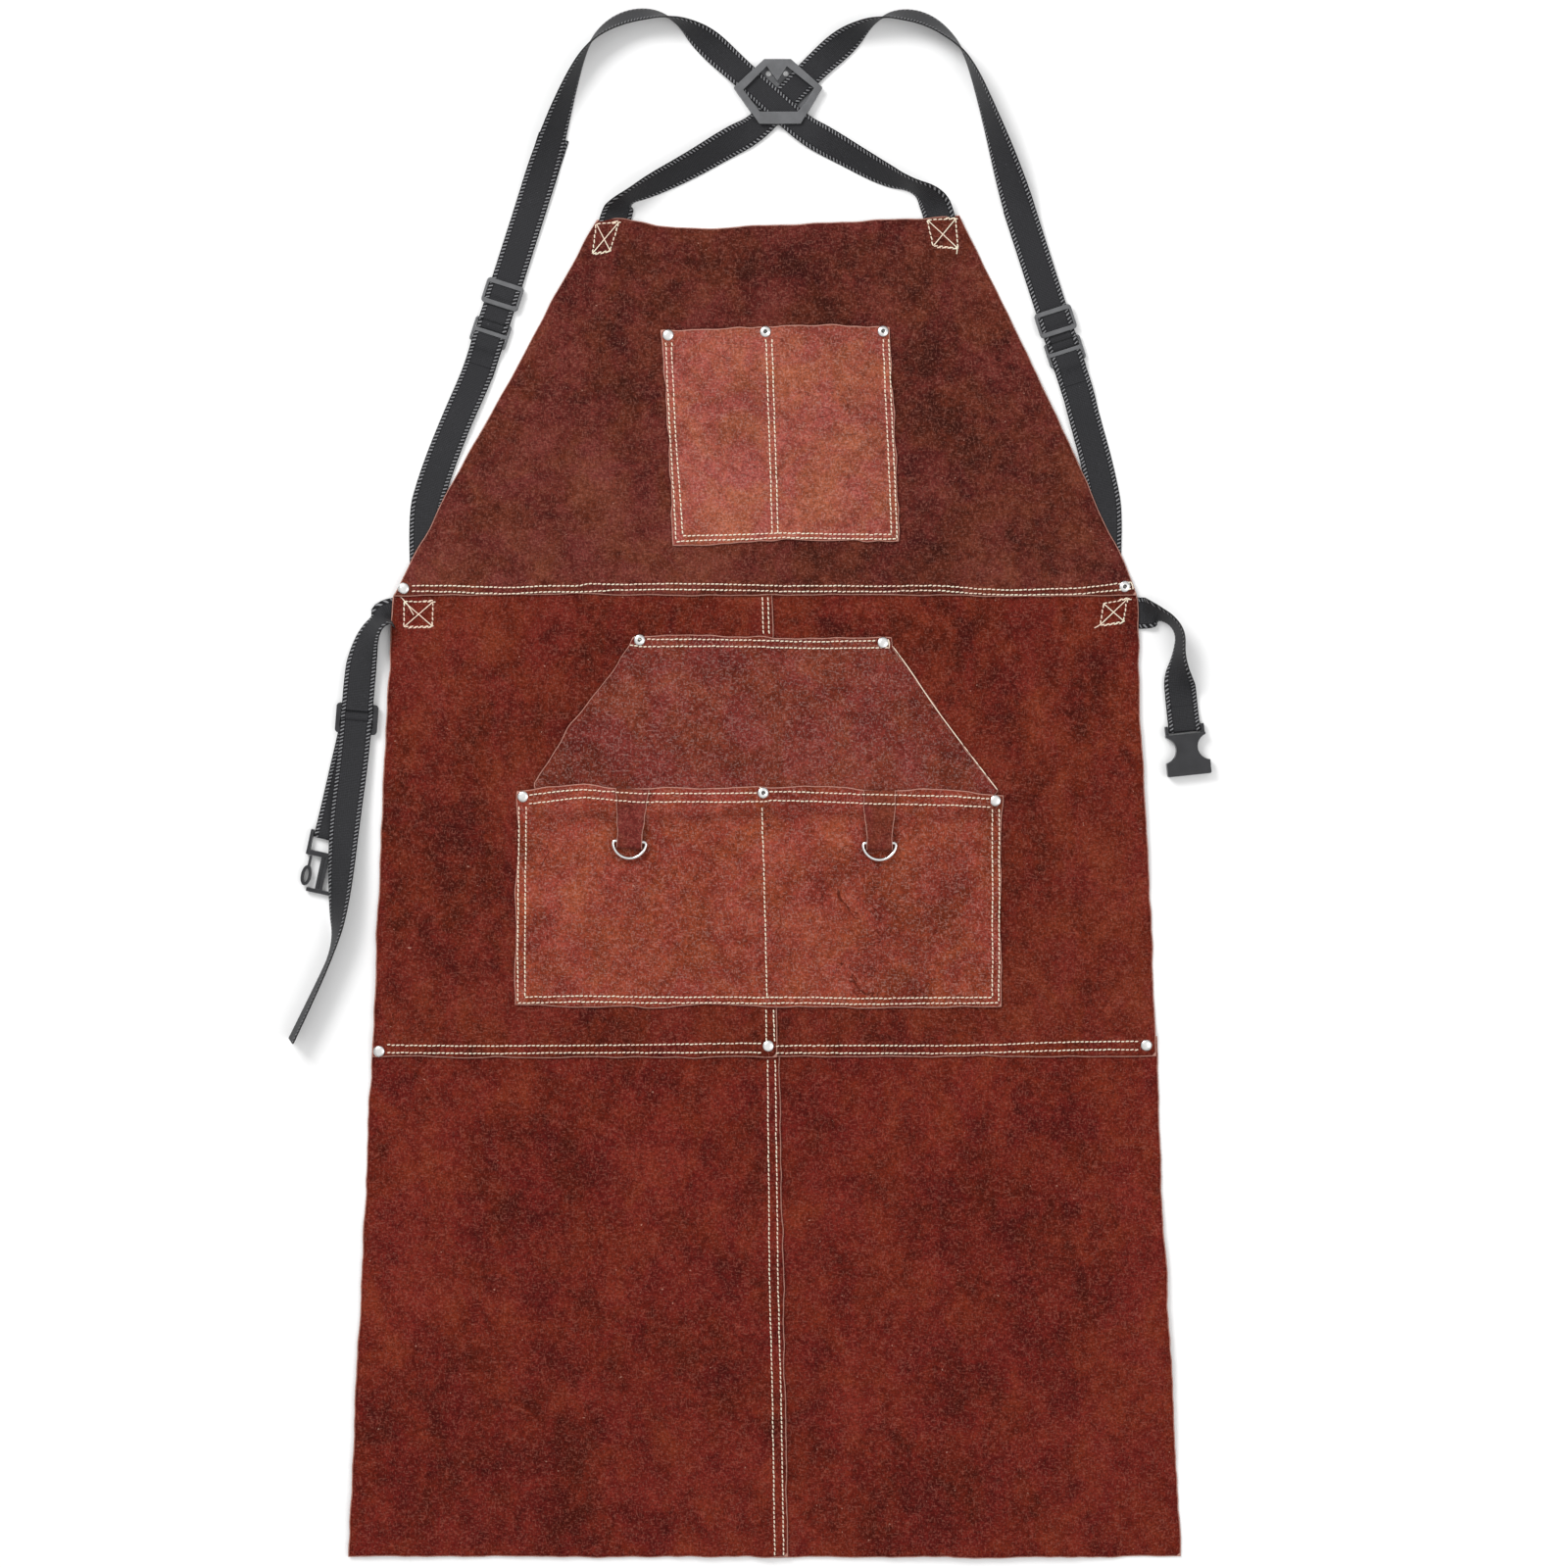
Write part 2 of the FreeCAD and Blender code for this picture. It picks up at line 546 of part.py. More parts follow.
stitch_rows("chest_pocket_stitching", [
    [(-79.5, 202), (-71.0, 49)], [(-75.0, 202), (-65.5, 49)],
    [(0.2, 205), (5.0, 49)], [(5.0, 212), (10.0, 49)],
    [(94.2, 205), (101.0, 49)], [(98.8, 205), (105.0, 49)],
    [(-70.5, 47), (105.0, 47)], [(-71.5, 43.5), (105.0, 43.5)]])
stitch_rows("waist_seam_stitching", [[(-282.5, 8.0), (281, 8.0)], [(-282.5, 2.6), (281, 2.6)]])
stitch_rows("centre_seam_stitching", [
    [(-1.9, -1), (-1.4, -31)], [(2.8, -1), (3.2, -31)],
    [(0.6, -330), (0.8, -353)], [(6.6, -330), (7.1, -353)],
    [(1.6, -370), (7.6, -766)], [(7.8, -370), (14.4, -766)]])
stitch_rows("lower_seam_stitching", [
    [(-302, -359), (-3, -359)], [(-302, -365), (299, -365)], [(8, -359), (298, -359)]])
stitch_rows("tool_pocket_stitching", [
    [(-94.8, -36), (88.4, -36)], [(-94.8, -39.4), (88.4, -39.4)],
    [(-187.5, -157), (-7.5, -157)], [(4.5, -157), (176, -159)],
    [(-196, -166.3), (-7.5, -164.5)], [(4.5, -164.5), (176, -167)],
    [(-195.5, -168), (-197.4, -320)], [(-190.3, -168), (-192, -320)],
    [(181.3, -170), (181.0, -320)], [(186.4, -170), (186.4, -320)],
    [(-197, -321.5), (186, -321.5)], [(-197, -325.5), (186, -325.5)],
    [(-2.9, -176), (1.5, -320)]])
tacks = [[(-134.5, 293.5), (-117.5, 295.5), (-123.0, 274.0), (-138.0, 272.5)],
         [(130.5, 297.5), (151.5, 298.5), (153.5, 275.0), (134.5, 274.0)],
         [(-281, -3.5), (-263, -3.5), (-263, -24.5), (-281, -24.5)],
         [(263, -3.5), (281, -3.5), (281, -24.5), (263, -24.5)]]
stitch_rows("strap_tack_stitching", [row for corners in tacks for row in tack_rows(corners)])

# ---------------------------------------------------------------- cross-back plate
CROSSING = (9.8, 390.9)
PLATE_OUTLINE = [(-4.7, 376), (28.2, 376), (45.4, 405), (20.4, 427.5), (-0.8, 427.5), (-25.1, 405)]
PLATE_WINDOW = [(-4.4, 385.5), (25.7, 385.5), (32.7, 393.3), (38.9, 404.4), (17.2, 421.9),
                (9.6, 410), (1.2, 421.9), (-17.7, 403), (-8.6, 391.1)]
plate_base = 1.2
under_web = WEB_THICK                                  # base heights of the two crossing straps
over_web = 2 * WEB_THICK + LAYER_GAP
plate_roof = over_web + WEB_THICK + LAYER_GAP
plate_top = plate_roof + 2.5
rise_side = along(CROSSING, 46.2, 45), along(CROSSING, 46.2, -45)
fall_side = along(CROSSING, 138.2, 45), along(CROSSING, 138.2, -45)
plate = prism(PLATE_OUTLINE, plate_roof, plate_top).cut(prism(PLATE_WINDOW, plate_roof - 1, plate_top + 1))
posts = prism(PLATE_OUTLINE, plate_base, plate_roof).cut(prism(PLATE_WINDOW, 0, plate_roof + 1))
for start, end in (rise_side, fall_side):
    posts = posts.cut(prism(band(start, end, PLATE_WEB_WIDTH + 1), 0, plate_roof + 1))
back = prism(PLATE_OUTLINE, 0, plate_base)
for x in (2.5, 16.5):
    back = back.cut(Part.makeCylinder(2.2, 3, V(x, 417.0, -1)))
parts["cross_back_plate"] = back.fuse(posts).fuse(plate).removeSplitter()

# ---------------------------------------------------------------- shoulder straps and their adjusters
slider_spot = {"left": (-209.6, 240.1), "right": (231.5, 218.7)}
strap_heading = {"left": -90.0 - STRAP_TILT, "right": -90.0 + STRAP_TILT}
link_distance = {"left": 32.0, "right": 25.0}
tail_length = {"left": 133.0, "right": 96.0}
strap_level = WEB_THICK + LAYER_GAP
slider_level = strap_level + WEB_THICK + LAYER_GAP
over_link = 2 * BAR_HEIGHT - WEB_THICK               # base height of webbing on top of a link's bar

shoulder_routes = {
    "left": [
        (*LEFT_CORNER_END, 0, 0, WEB_WIDTH), (*LEFT_CORNER_EXIT, 0, 0, WEB_WIDTH),
        (-113.0, 315.0, 80, 0, WEB_WIDTH), (-93.0, 325.0, 55, 0, WEB_WIDTH),
        (-60.0, 342.0, 42, 0, WEB_WIDTH), (-28.0, 361.5, 32, 0, WEB_WIDTH),
        (-8.0, 372.5, 0, under_web, PLATE_WEB_WIDTH), (*CROSSING, 0, under_web, PLATE_WEB_WIDTH),
        (41.0, 423.4, 0, under_web, PLATE_WEB_WIDTH), (65.0, 443.0, 40, 0, WEB_WIDTH),
        (84.0, 456.5, 85, 0, WEB_WIDTH), (105.0, 463.0, 120, 0, WEB_WIDTH),
        (128.0, 459.5, 125, 0, WEB_WIDTH), (149.0, 444.0, 110, 0, WEB_WIDTH),
        (163.5, 424.5, 85, 0, WEB_WIDTH)],
    "right": [
        (*RIGHT_CORNER_END, 0, 0, WEB_WIDTH), (*RIGHT_CORNER_EXIT, 0, 0, WEB_WIDTH),
        (131.5, 318.5, -50, 0, WEB_WIDTH), (117.0, 326.5, -80, 0, WEB_WIDTH),
        (96.0, 334.0, -52, 0, WEB_WIDTH), (54.0, 358.5, -38, 0, WEB_WIDTH),
        (30.0, 372.7, 0, over_web, PLATE_WEB_WIDTH), (*CROSSING, 0, over_web, PLATE_WEB_WIDTH),
        (-26.0, 422.9, 0, over_web, PLATE_WEB_WIDTH), (-49.0, 443.5, -40, 0, WEB_WIDTH),
        (-68.0, 457.0, -85, 0, WEB_WIDTH), (-90.0, 463.5, -120, 0, WEB_WIDTH),
        (-113.0, 460.5, -125, 0, WEB_WIDTH), (-133.0, 448.0, -110, 0, WEB_WIDTH),
        (-146.0, 430.0, -85, 0, WEB_WIDTH)]}

# each shoulder strap is sewn at one side of the bib and is adjusted on the other
for label, far, sign in (("left", "right", 1), ("right", "left", -1)):
    spot, heading = slider_spot[far], strap_heading[far]
    to_link = link_distance[far] - LINK_BAR
    route = list(shoulder_routes[label])
    for distance, roll, base in ((-165, 60, 0), (-115, 28, strap_level), (-84, 0, strap_level),
                                 (-30, 0, strap_level), (SLIDER_LENGTH / 2 + 0.6, 0, strap_level),
                                 (to_link - 1.6, 0, over_link), (to_link - 0.3, 0, over_link)):
        route.append((*along(spot, heading, distance), sign * roll, base, WEB_WIDTH))
    parts[f"shoulder_strap_{label}"] = ribbon(f"shoulder_strap_{label}", route)

for label, spot in slider_spot.items():
    heading = strap_heading[label]
    to_link = link_distance[label] - LINK_BAR
    frame = slider(SLIDER_LENGTH, SLIDER_WIDTH, slider_level, SLIDER_END_BAR)
    fold = slider_fold(SLIDER_LENGTH, slider_level, SLIDER_END_BAR)
    parts[f"shoulder_slider_{label}"] = placed(frame, *spot, heading)
    parts[f"slider_fold_{label}"] = placed(fold, *spot, heading)
    middle = along(spot, heading, link_distance[label])
    parts[f"strap_link_{label}"] = placed(link(), *middle, heading)
    bar = along(spot, heading, to_link)
    tail = bent_strip(turn_round(0, 1) + [(-to_link - tail_length[label], WEB_THICK / 2)])
    parts[f"shoulder_strap_tail_{label}"] = placed(tail, *bar, heading)

# ---------------------------------------------------------------- side straps
FOLD_BACK = 26.0          # webbing folded under and sewn to itself at a bar
BAR_END = 18.0            # how far the piece modelled with the fold reaches from the bar
upper_level = WEB_THICK + LAYER_GAP
side_routes = {
    "left": [(-246.5, 140.0, 8, 0, WEB_WIDTH), (*side_bend[-1], 0, 0, WEB_WIDTH),
             (*side_foot[-1], 0, 0, WEB_WIDTH), (-SIDE_X, SIDE_END_Y, 0, 0, WEB_WIDTH)],
    "right": [(253.5, 146.0, -8, 0, WEB_WIDTH), (*side_bend[1], 0, 0, WEB_WIDTH),
              (*side_foot[1], 0, 0, WEB_WIDTH), (SIDE_X, SIDE_END_Y, 0, 0, WEB_WIDTH)]}


def bar_end():
    """Webbing folded round a bar at the local origin; the strap leaves along +X."""
    under = [(FOLD_BACK, WEB_THICK / 2)] + turn_round(0, -1)[::-1]
    upper = upper_level + WEB_THICK / 2
    over = [(3.0, 2 * BAR_HEIGHT - WEB_THICK / 2), (9.0, upper), (BAR_END, upper)]
    return bent_strip(under + over)


for label, route in side_routes.items():
    heading = strap_heading[label]
    bar = along(slider_spot[label], heading, link_distance[label] + LINK_BAR)
    start = [(*along(bar, heading, BAR_END), 0, upper_level, WEB_WIDTH),
             (*along(bar, heading, FOLD_BACK + 2), 0, upper_level, WEB_WIDTH)]
    strap = ribbon(f"side_strap_{label}", start + route)
    parts[f"side_strap_{label}"] = strap.fuse(placed(bar_end(), *bar, heading)).removeSplitter()

# ---------------------------------------------------------------- waist belt, half with the plug
belt_spot, belt_heading = (-325.9, -98.3), -94.5
belt_slider_level = 2 * (WEB_THICK + LAYER_GAP)
belt_level = belt_slider_level + SLIDER_THICK + LAYER_GAP
frame = slider(BELT_SLIDER_LENGTH, BELT_SLIDER_WIDTH, belt_slider_level, BELT_SLIDER_END_BAR)
fold = slider_fold(BELT_SLIDER_LENGTH, belt_slider_level, BELT_SLIDER_END_BAR)
parts["belt_slider"] = placed(frame, *belt_spot, belt_heading)
parts["belt_slider_fold"] = placed(fold, *belt_spot, belt_heading)
parts["belt_strap_left"] = ribbon("belt_strap_left", [
    (-BELT_END_X, BELT_Y, 0, WEB_THICK, WEB_WIDTH),
    (-BELT_EXIT_X, BELT_Y, 0, WEB_THICK, WEB_WIDTH),
    (-312.5, -20.0, 62, 0, WEB_WIDTH), (-320.5, -35.0, 60, 0, WEB_WIDTH),
    (*along(belt_spot, belt_heading, -38), 0, belt_level, WEB_WIDTH),
    (*along(belt_spot, belt_heading, -6.5), 0, belt_level, WEB_WIDTH)])
parts["belt_tail"] = ribbon("belt_tail", [
    (*along(belt_spot, belt_heading, 1.0), 0, belt_level, WEB_WIDTH),
    (*along(belt_spot, belt_heading, 28), 0, belt_level, WEB_WIDTH),
    (-335.5, -184.0, 12, belt_level, WEB_WIDTH), (-339.0, -248.0, 45, 6, WEB_WIDTH),
    (-342.5, -280.0, 80, 0, WEB_WIDTH), (-358.0, -315.0, 76, 0, WEB_WIDTH),
    (-377.5, -355.0, 74, 0, WEB_WIDTH)])

plug_spot, plug_heading = (-347.5, -192.3), -90.0 - 12.3
loop_heading = math.degrees(math.atan2(plug_spot[1] - belt_spot[1], plug_spot[0] - belt_spot[0]))
loop_run = math.dist(belt_spot, plug_spot)
loop = bent_strip([(0, upper_level + WEB_THICK / 2), (loop_run - 13, upper_level + WEB_THICK / 2),
                   (loop_run - 4, 2 * BAR_HEIGHT - WEB_THICK / 2)]
                  + turn_round(loop_run, 1) + [(0, WEB_THICK / 2)])
parts["belt_loop"] = placed(loop, *belt_spot, loop_heading)
parts["buckle_male_body"] = placed(male_body(), *plug_spot, plug_heading)
for label, side in (("left", -1), ("right", 1)):
    parts[f"buckle_male_prong_{label}"] = placed(prong(side), *plug_spot, plug_heading)

# ---------------------------------------------------------------- waist belt, half with the socket
socket_spot, socket_heading = (334.5, -106.1), -90.0 + 6.0
belt_end_start = along(socket_spot, socket_heading, -BAR_END)
belt_right = ribbon("belt_strap_right", [
    (BELT_END_X, BELT_Y, 0, WEB_THICK, WEB_WIDTH),
    (BELT_EXIT_X, BELT_Y, 0, WEB_THICK, WEB_WIDTH),
    (313.0, -15.5, 64, 0, WEB_WIDTH), (325.0, -23.5, 75, 0, WEB_WIDTH), (329.5, -37.0, 62, 0, WEB_WIDTH),
    (329.3, -56.0, 40, 0, WEB_WIDTH),
    (*along(socket_spot, socket_heading, -FOLD_BACK - 2), 0, upper_level, WEB_WIDTH),
    (*belt_end_start, 0, upper_level, WEB_WIDTH)])
socket_end = placed(bar_end(), *socket_spot, socket_heading + 180)
parts["belt_strap_right"] = belt_right.fuse(socket_end).removeSplitter()
parts["buckle_female"] = placed(female_body(), *socket_spot, socket_heading)

# ---------------------------------------------------------------- write the parts
os.makedirs("parts", exist_ok=True)
for name, shape in parts.items():
    if not shape.isValid():
        print("not valid:", name)
    shape.exportStep(f"parts/{name}.step")
print(len(parts), "parts")
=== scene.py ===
import math

import bpy
import numpy as np
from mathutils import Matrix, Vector


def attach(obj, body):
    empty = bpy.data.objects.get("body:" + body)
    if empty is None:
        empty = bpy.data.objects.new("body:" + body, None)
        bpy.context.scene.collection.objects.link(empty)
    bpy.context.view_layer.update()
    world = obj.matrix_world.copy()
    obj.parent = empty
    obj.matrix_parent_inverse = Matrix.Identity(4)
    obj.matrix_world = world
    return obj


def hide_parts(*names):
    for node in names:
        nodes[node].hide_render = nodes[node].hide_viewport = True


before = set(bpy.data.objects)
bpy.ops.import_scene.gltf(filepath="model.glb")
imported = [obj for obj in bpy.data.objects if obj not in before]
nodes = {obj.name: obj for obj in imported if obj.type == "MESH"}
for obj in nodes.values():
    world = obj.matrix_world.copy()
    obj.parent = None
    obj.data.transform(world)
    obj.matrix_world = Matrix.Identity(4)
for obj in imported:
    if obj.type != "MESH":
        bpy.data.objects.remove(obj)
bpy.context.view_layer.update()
scene = bpy.context.scene

# ------------------------------------------------------------------ sizes, in metres
LEATHER = 0.0015
WEB_WIDTH = 0.025
WEB_THICK = 0.0015
PLATE_WEB_WIDTH = 0.021
LAYER_GAP = 0.0003
FOLD_WIDTH = 0.0262           # webbing squeezed flat between a slider's rails
LINK_REACH = 0.0063           # how far the slack loops at a link reach past its bars
BAR_HEIGHT = 0.00295          # centre of a plastic bar above the floor
LOOP_R = 0.0022               # centre line of webbing going round a bar
LINK_BAR = 0.0086
STITCH_PITCH = 0.0036
STITCH_LENGTH = 0.0029
LOOSE_THREAD_R = 0.00045
MM = 0.001
RIVET_R = 0.0045

# ------------------------------------------------------------------ camera
camera_data = bpy.data.cameras.new("camera")
camera_data.sensor_width = 36.0
camera_data.lens = 86.2
camera_data.clip_end = 50.0
camera = bpy.data.objects.new("camera", camera_data)
camera.location = (0.0149, -0.1504, 3.0)
scene.collection.objects.link(camera)
scene.camera = camera


# ------------------------------------------------------------------ mesh helpers
def new_object(name, verts, faces, materials, face_materials=None, smooth=True):
    mesh = bpy.data.meshes.new(name)
    mesh.from_pydata([tuple(v) for v in verts], [], [tuple(int(i) for i in f) for f in faces])
    for material in materials:
        mesh.materials.append(material)
    if face_materials is not None:
        mesh.polygons.foreach_set("material_index", np.asarray(face_materials, np.int32))
    mesh.polygons.foreach_set("use_smooth", np.full(len(mesh.polygons), smooth))
    mesh.update()
    piece = bpy.data.objects.new(name, mesh)
    scene.collection.objects.link(piece)
    return piece


def store(piece, name, values, kind="FLOAT_VECTOR"):
    attribute = piece.data.attributes.new(name, kind, "POINT")
    key = "vector" if kind == "FLOAT_VECTOR" else "value"
    attribute.data.foreach_set(key, np.asarray(values, np.float32).ravel())


def grid_faces(rows, columns, start=0, flip=False):
    """Quads of a rows x columns grid of points, numbered row by row."""
    index = np.arange(rows * columns).reshape(rows, columns) + start
    quads = np.stack([index[:-1, :-1], index[:-1, 1:], index[1:, 1:], index[1:, :-1]], -1).reshape(-1, 4)
    return quads[:, ::-1] if flip else quads


def ring_faces(first, second):
    """Quads between two closed rings of point numbers."""
    return np.stack([first, np.roll(first, -1), np.roll(second, -1), second], -1)


# ------------------------------------------------------------------ node materials
class Shader:
    """A material's node tree, with short calls for the nodes used here."""

    def __init__(self, name):
        self.material = bpy.data.materials.new(name)
        self.material.use_nodes = True
        self.tree = self.material.node_tree
        self.bsdf = self.tree.nodes["Principled BSDF"]

    def node(self, kind, inputs=None, **settings):
        made = self.tree.nodes.new(kind)
        for key, value in settings.items():
            setattr(made, key, value)
        for key, value in (inputs or {}).items():
            self.put(made.inputs[key], value)
        return made

    def put(self, socket, value):
        if isinstance(value, bpy.types.NodeSocket):
            self.tree.links.new(value, socket)
        else:
            socket.default_value = value

    def place(self):
        return self.node("ShaderNodeTexCoord").outputs["Object"]

    def shift(self, vector, location=(0, 0, 0), scale=(1, 1, 1), rotation=(0, 0, 0)):
        made = self.node("ShaderNodeMapping", {"Vector": vector, "Location": location, "Scale": scale,
                                               "Rotation": rotation})
        return made.outputs["Vector"]

    def noise(self, vector, scale, detail=3.0, rough=0.55, distort=0.0):
        made = self.node("ShaderNodeTexNoise", {"Vector": vector, "Scale": scale, "Detail": detail,
                                                "Roughness": rough, "Distortion": distort})
        return made.outputs["Fac"]

    def ramp(self, value, low, high, out_low=0.0, out_high=1.0):
        made = self.node("ShaderNodeMapRange", {"Value": value, "From Min": low, "From Max": high,
                                                "To Min": out_low, "To Max": out_high})
        made.interpolation_type = "SMOOTHSTEP"
        return made.outputs["Result"]

    def math(self, operation, a, b=0.0):
        made = self.node("ShaderNodeMath", operation=operation)
        self.put(made.inputs[0], a)
        self.put(made.inputs[1], b)
        return made.outputs["Value"]

    def mix(self, share, a, b, kind="MIX"):
        made = self.node("ShaderNodeMix", data_type="RGBA", blend_type=kind)
        self.put(made.inputs["Factor"], share)
        self.put(made.inputs["A"], a if isinstance(a, bpy.types.NodeSocket) else (*a, 1.0))
        self.put(made.inputs["B"], b if isinstance(b, bpy.types.NodeSocket) else (*b, 1.0))
        return made.outputs["Result"]

    def split(self, vector):
        return self.node("ShaderNodeSeparateXYZ", {"Vector": vector}).outputs

    def stored(self, name, output="Fac"):
        return self.node("ShaderNodeAttribute", attribute_name=name).outputs[output]

    def bump(self, height, distance, strength=1.0, under=None):
        inputs = {"Height": height, "Distance": distance, "Strength": strength}
        if under is not None:
            inputs["Normal"] = under
        return self.node("ShaderNodeBump", inputs).outputs["Normal"]

    def surface(self, **sockets):
        for key, value in sockets.items():
            self.put(self.bsdf.inputs[key.replace("_", " ")], value)
        return self.material


WINE, RUST = (0.98, 0.86, 1.06), (1.03, 1.13, 0.90)         # tints that the dye drifts between


def suede(name, dark, middle, light, offset, creases=0.3, stretch=(1, 1, 1), rim_width=0.0012,
          fleck=(0.20, 0.10, 0.075)):
    """Split leather: blotches, clouds, napped grain and pale fibres, with a paler raw edge."""
    s = Shader(name)
    place = s.shift(s.place(), location=offset)
    drawn = s.shift(place, scale=stretch)
    blotch = s.noise(drawn, 9.0, 3.0, 0.5, 0.6)
    cloud = s.noise(drawn, 34.0, 5.0, 0.62, 0.5)
    mottle = s.noise(place, 130.0, 3.0, 0.62)
    nap = s.noise(place, 560.0, 2.0, 0.6)
    tone = s.math("ADD", s.math("MULTIPLY", blotch, 0.36), s.math("MULTIPLY", cloud, 0.54))
    tone = s.math("ADD", tone, s.math("MULTIPLY", mottle, 0.42))
    tone = s.math("ADD", tone, s.math("MULTIPLY", s.stored("tone"), 0.085))
    colour = s.mix(s.ramp(tone, 0.47, 0.70), dark, middle)
    colour = s.mix(s.ramp(tone, 0.62, 0.86), colour, light)
    drift = s.noise(s.shift(drawn, location=(7.1, 3.3, 0.0)), 26.0, 4.0, 0.6, 0.6)
    colour = s.mix(1.0, colour, s.mix(s.ramp(drift, 0.36, 0.64), WINE, RUST), "MULTIPLY")
    fuzz = s.ramp(nap, 0.28, 0.72, 0.66, 1.27)
    colour = s.mix(1.0, colour, s.node("ShaderNodeCombineColor", {0: fuzz, 1: fuzz, 2: fuzz}).outputs[0],
                   "MULTIPLY")
    pale = tuple(c + v for c, v in zip(light, fleck))
    hair = s.noise(s.shift(place, scale=(1.0, 0.42, 1.0), rotation=(0, 0, 0.9)), 900.0, 1.0, 0.5)
    other = s.noise(s.shift(place, scale=(0.42, 1.0, 1.0), rotation=(0, 0, 0.5)), 820.0, 1.0, 0.5)
    fibre = s.math("MAXIMUM", s.ramp(hair, 0.54, 0.74, 0.0, 0.30), s.ramp(other, 0.54, 0.74, 0.0, 0.30))
    colour = s.mix(fibre, colour, pale)
    dust = s.ramp(s.noise(place, 400.0, 0.0, 0.5), 0.86, 0.90, 0.0, 0.4)
    colour = s.mix(dust, colour, (0.60, 0.34, 0.26))
    height = s.math("ADD", s.math("MULTIPLY", nap, 0.5), s.math("MULTIPLY", mottle, 0.5))
    crease_noise = s.noise(s.shift(place, location=(1.7, 8.2, 0.0), scale=(1.0, 1.3, 1.0)), 17.0, 3.0, 0.5, 1.4)
    line = s.ramp(s.math("ABSOLUTE", s.math("SUBTRACT", crease_noise, 0.5)), 0.001, 0.006, 1.0, 0.0)
    where = s.ramp(s.noise(s.shift(place, location=(4.4, 6.1, 0.0)), 21.0, 3.0, 0.55), 0.53, 0.62)
    line = s.math("MULTIPLY", line, s.math("MULTIPLY", where, creases))
    # the crease lines are painted darker: painted shade in the creases, besides the groove that the bump
    # gives them
    colour = s.mix(line, colour, tuple(0.5 * c for c in dark))
    height = s.math("SUBTRACT", height, s.math("MULTIPLY", line, 0.5))
    rim = s.stored("rim")
    colour = s.mix(s.ramp(rim, 0.0, 0.003, 0.25, 0.0), colour, tuple(0.6 * c for c in dark))
    raw = s.math("ADD", rim, s.math("MULTIPLY", s.noise(place, 300.0, 2.0), 0.0007))
    colour = s.mix(s.ramp(raw, 0.0004, rim_width, 0.8, 0.0), colour, (0.56, 0.30, 0.24))
    normal = s.bump(s.noise(drawn, 42.0, 4.0, 0.6), 0.0022, 0.22)
    normal = s.bump(height, 0.0006, 0.6, normal)
    return s.surface(Base_Color=colour, Normal=normal, Roughness=s.ramp(cloud, 0.3, 0.7, 0.82, 0.97),
                     Sheen_Weight=0.03, Sheen_Roughness=0.5, Sheen_Tint=(0.85, 0.30, 0.20, 1.0),
                     Specular_IOR_Level=0.04)


def raw_edge():
    s = Shader("raw_leather_edge")
    place = s.place()
    fibre = s.noise(s.shift(place, scale=(1, 1, 4)), 900.0, 3.0)
    colour = s.mix(s.ramp(fibre, 0.3, 0.7), (0.20, 0.06, 0.04), (0.46, 0.21, 0.16))
    return s.surface(Base_Color=colour, Roughness=0.95, Normal=s.bump(fibre, 0.0004, 0.6))


def webbing():
    """Ribbed black webbing with a row of small leaning pale loops along each edge."""
    s = Shader("webbing")
    along, across, _ = s.split(s.stored("web", "Vector"))
    rib = s.math("SINE", s.math("MULTIPLY", along, 2 * math.pi / 0.00125))
    cord = s.math("SINE", s.math("MULTIPLY", across, 2 * math.pi / 0.0016))
    place = s.place()
    fuzz = s.noise(place, 900.0, 2.0, 0.65)
    weave = s.math("ADD", s.math("MULTIPLY", rib, 0.25), s.math("MULTIPLY", cord, 0.12))
    height = s.math("ADD", weave, fuzz)
    tone = s.ramp(s.math("ADD", s.math("MULTIPLY", weave, 0.5), fuzz), 0.15, 0.95)
    colour = s.mix(tone, (0.008, 0.008, 0.009), (0.038, 0.038, 0.042))
    patch = s.ramp(s.noise(place, 38.0, 3.0), 0.35, 0.7, 0.0, 0.4)
    colour = s.mix(patch, colour, (0.018, 0.018, 0.020))
    side = s.math("ABSOLUTE", across)
    lint = s.ramp(s.noise(place, 640.0, 1.0), 0.74, 0.82, 0.0, 0.35)
    colour = s.mix(lint, colour, (0.17, 0.17, 0.18))
    wander = s.math("MULTIPLY", s.noise(place, 160.0, 1.0), 0.0012)
    lean = s.math("MULTIPLY", across, 0.5)
    step = s.math("FRACT", s.math("DIVIDE", s.math("ADD", s.math("ADD", along, wander), lean), 0.0030))
    tooth = s.math("MULTIPLY", s.ramp(step, 0.14, 0.26), s.ramp(step, 0.62, 0.50))
    band = s.math("MULTIPLY", s.ramp(side, 0.0088, 0.0094), s.ramp(side, 0.0122, 0.0117))
    tooth = s.math("MULTIPLY", tooth, band)
    shade = s.ramp(side, 0.0080, 0.0088)
    colour = s.mix(s.math("MULTIPLY", shade, 0.9), colour, (0.003, 0.003, 0.004))
    colour = s.mix(s.math("MULTIPLY", tooth, 0.9), colour, (0.24, 0.24, 0.25))
    height = s.math("ADD", height, s.math("MULTIPLY", tooth, 0.9))
    return s.surface(Base_Color=colour, Roughness=s.ramp(fuzz, 0.3, 0.7, 0.62, 0.82), Sheen_Weight=0.08,
                     Sheen_Roughness=0.4, Specular_IOR_Level=0.22, Normal=s.bump(height, 0.00028, 0.7))


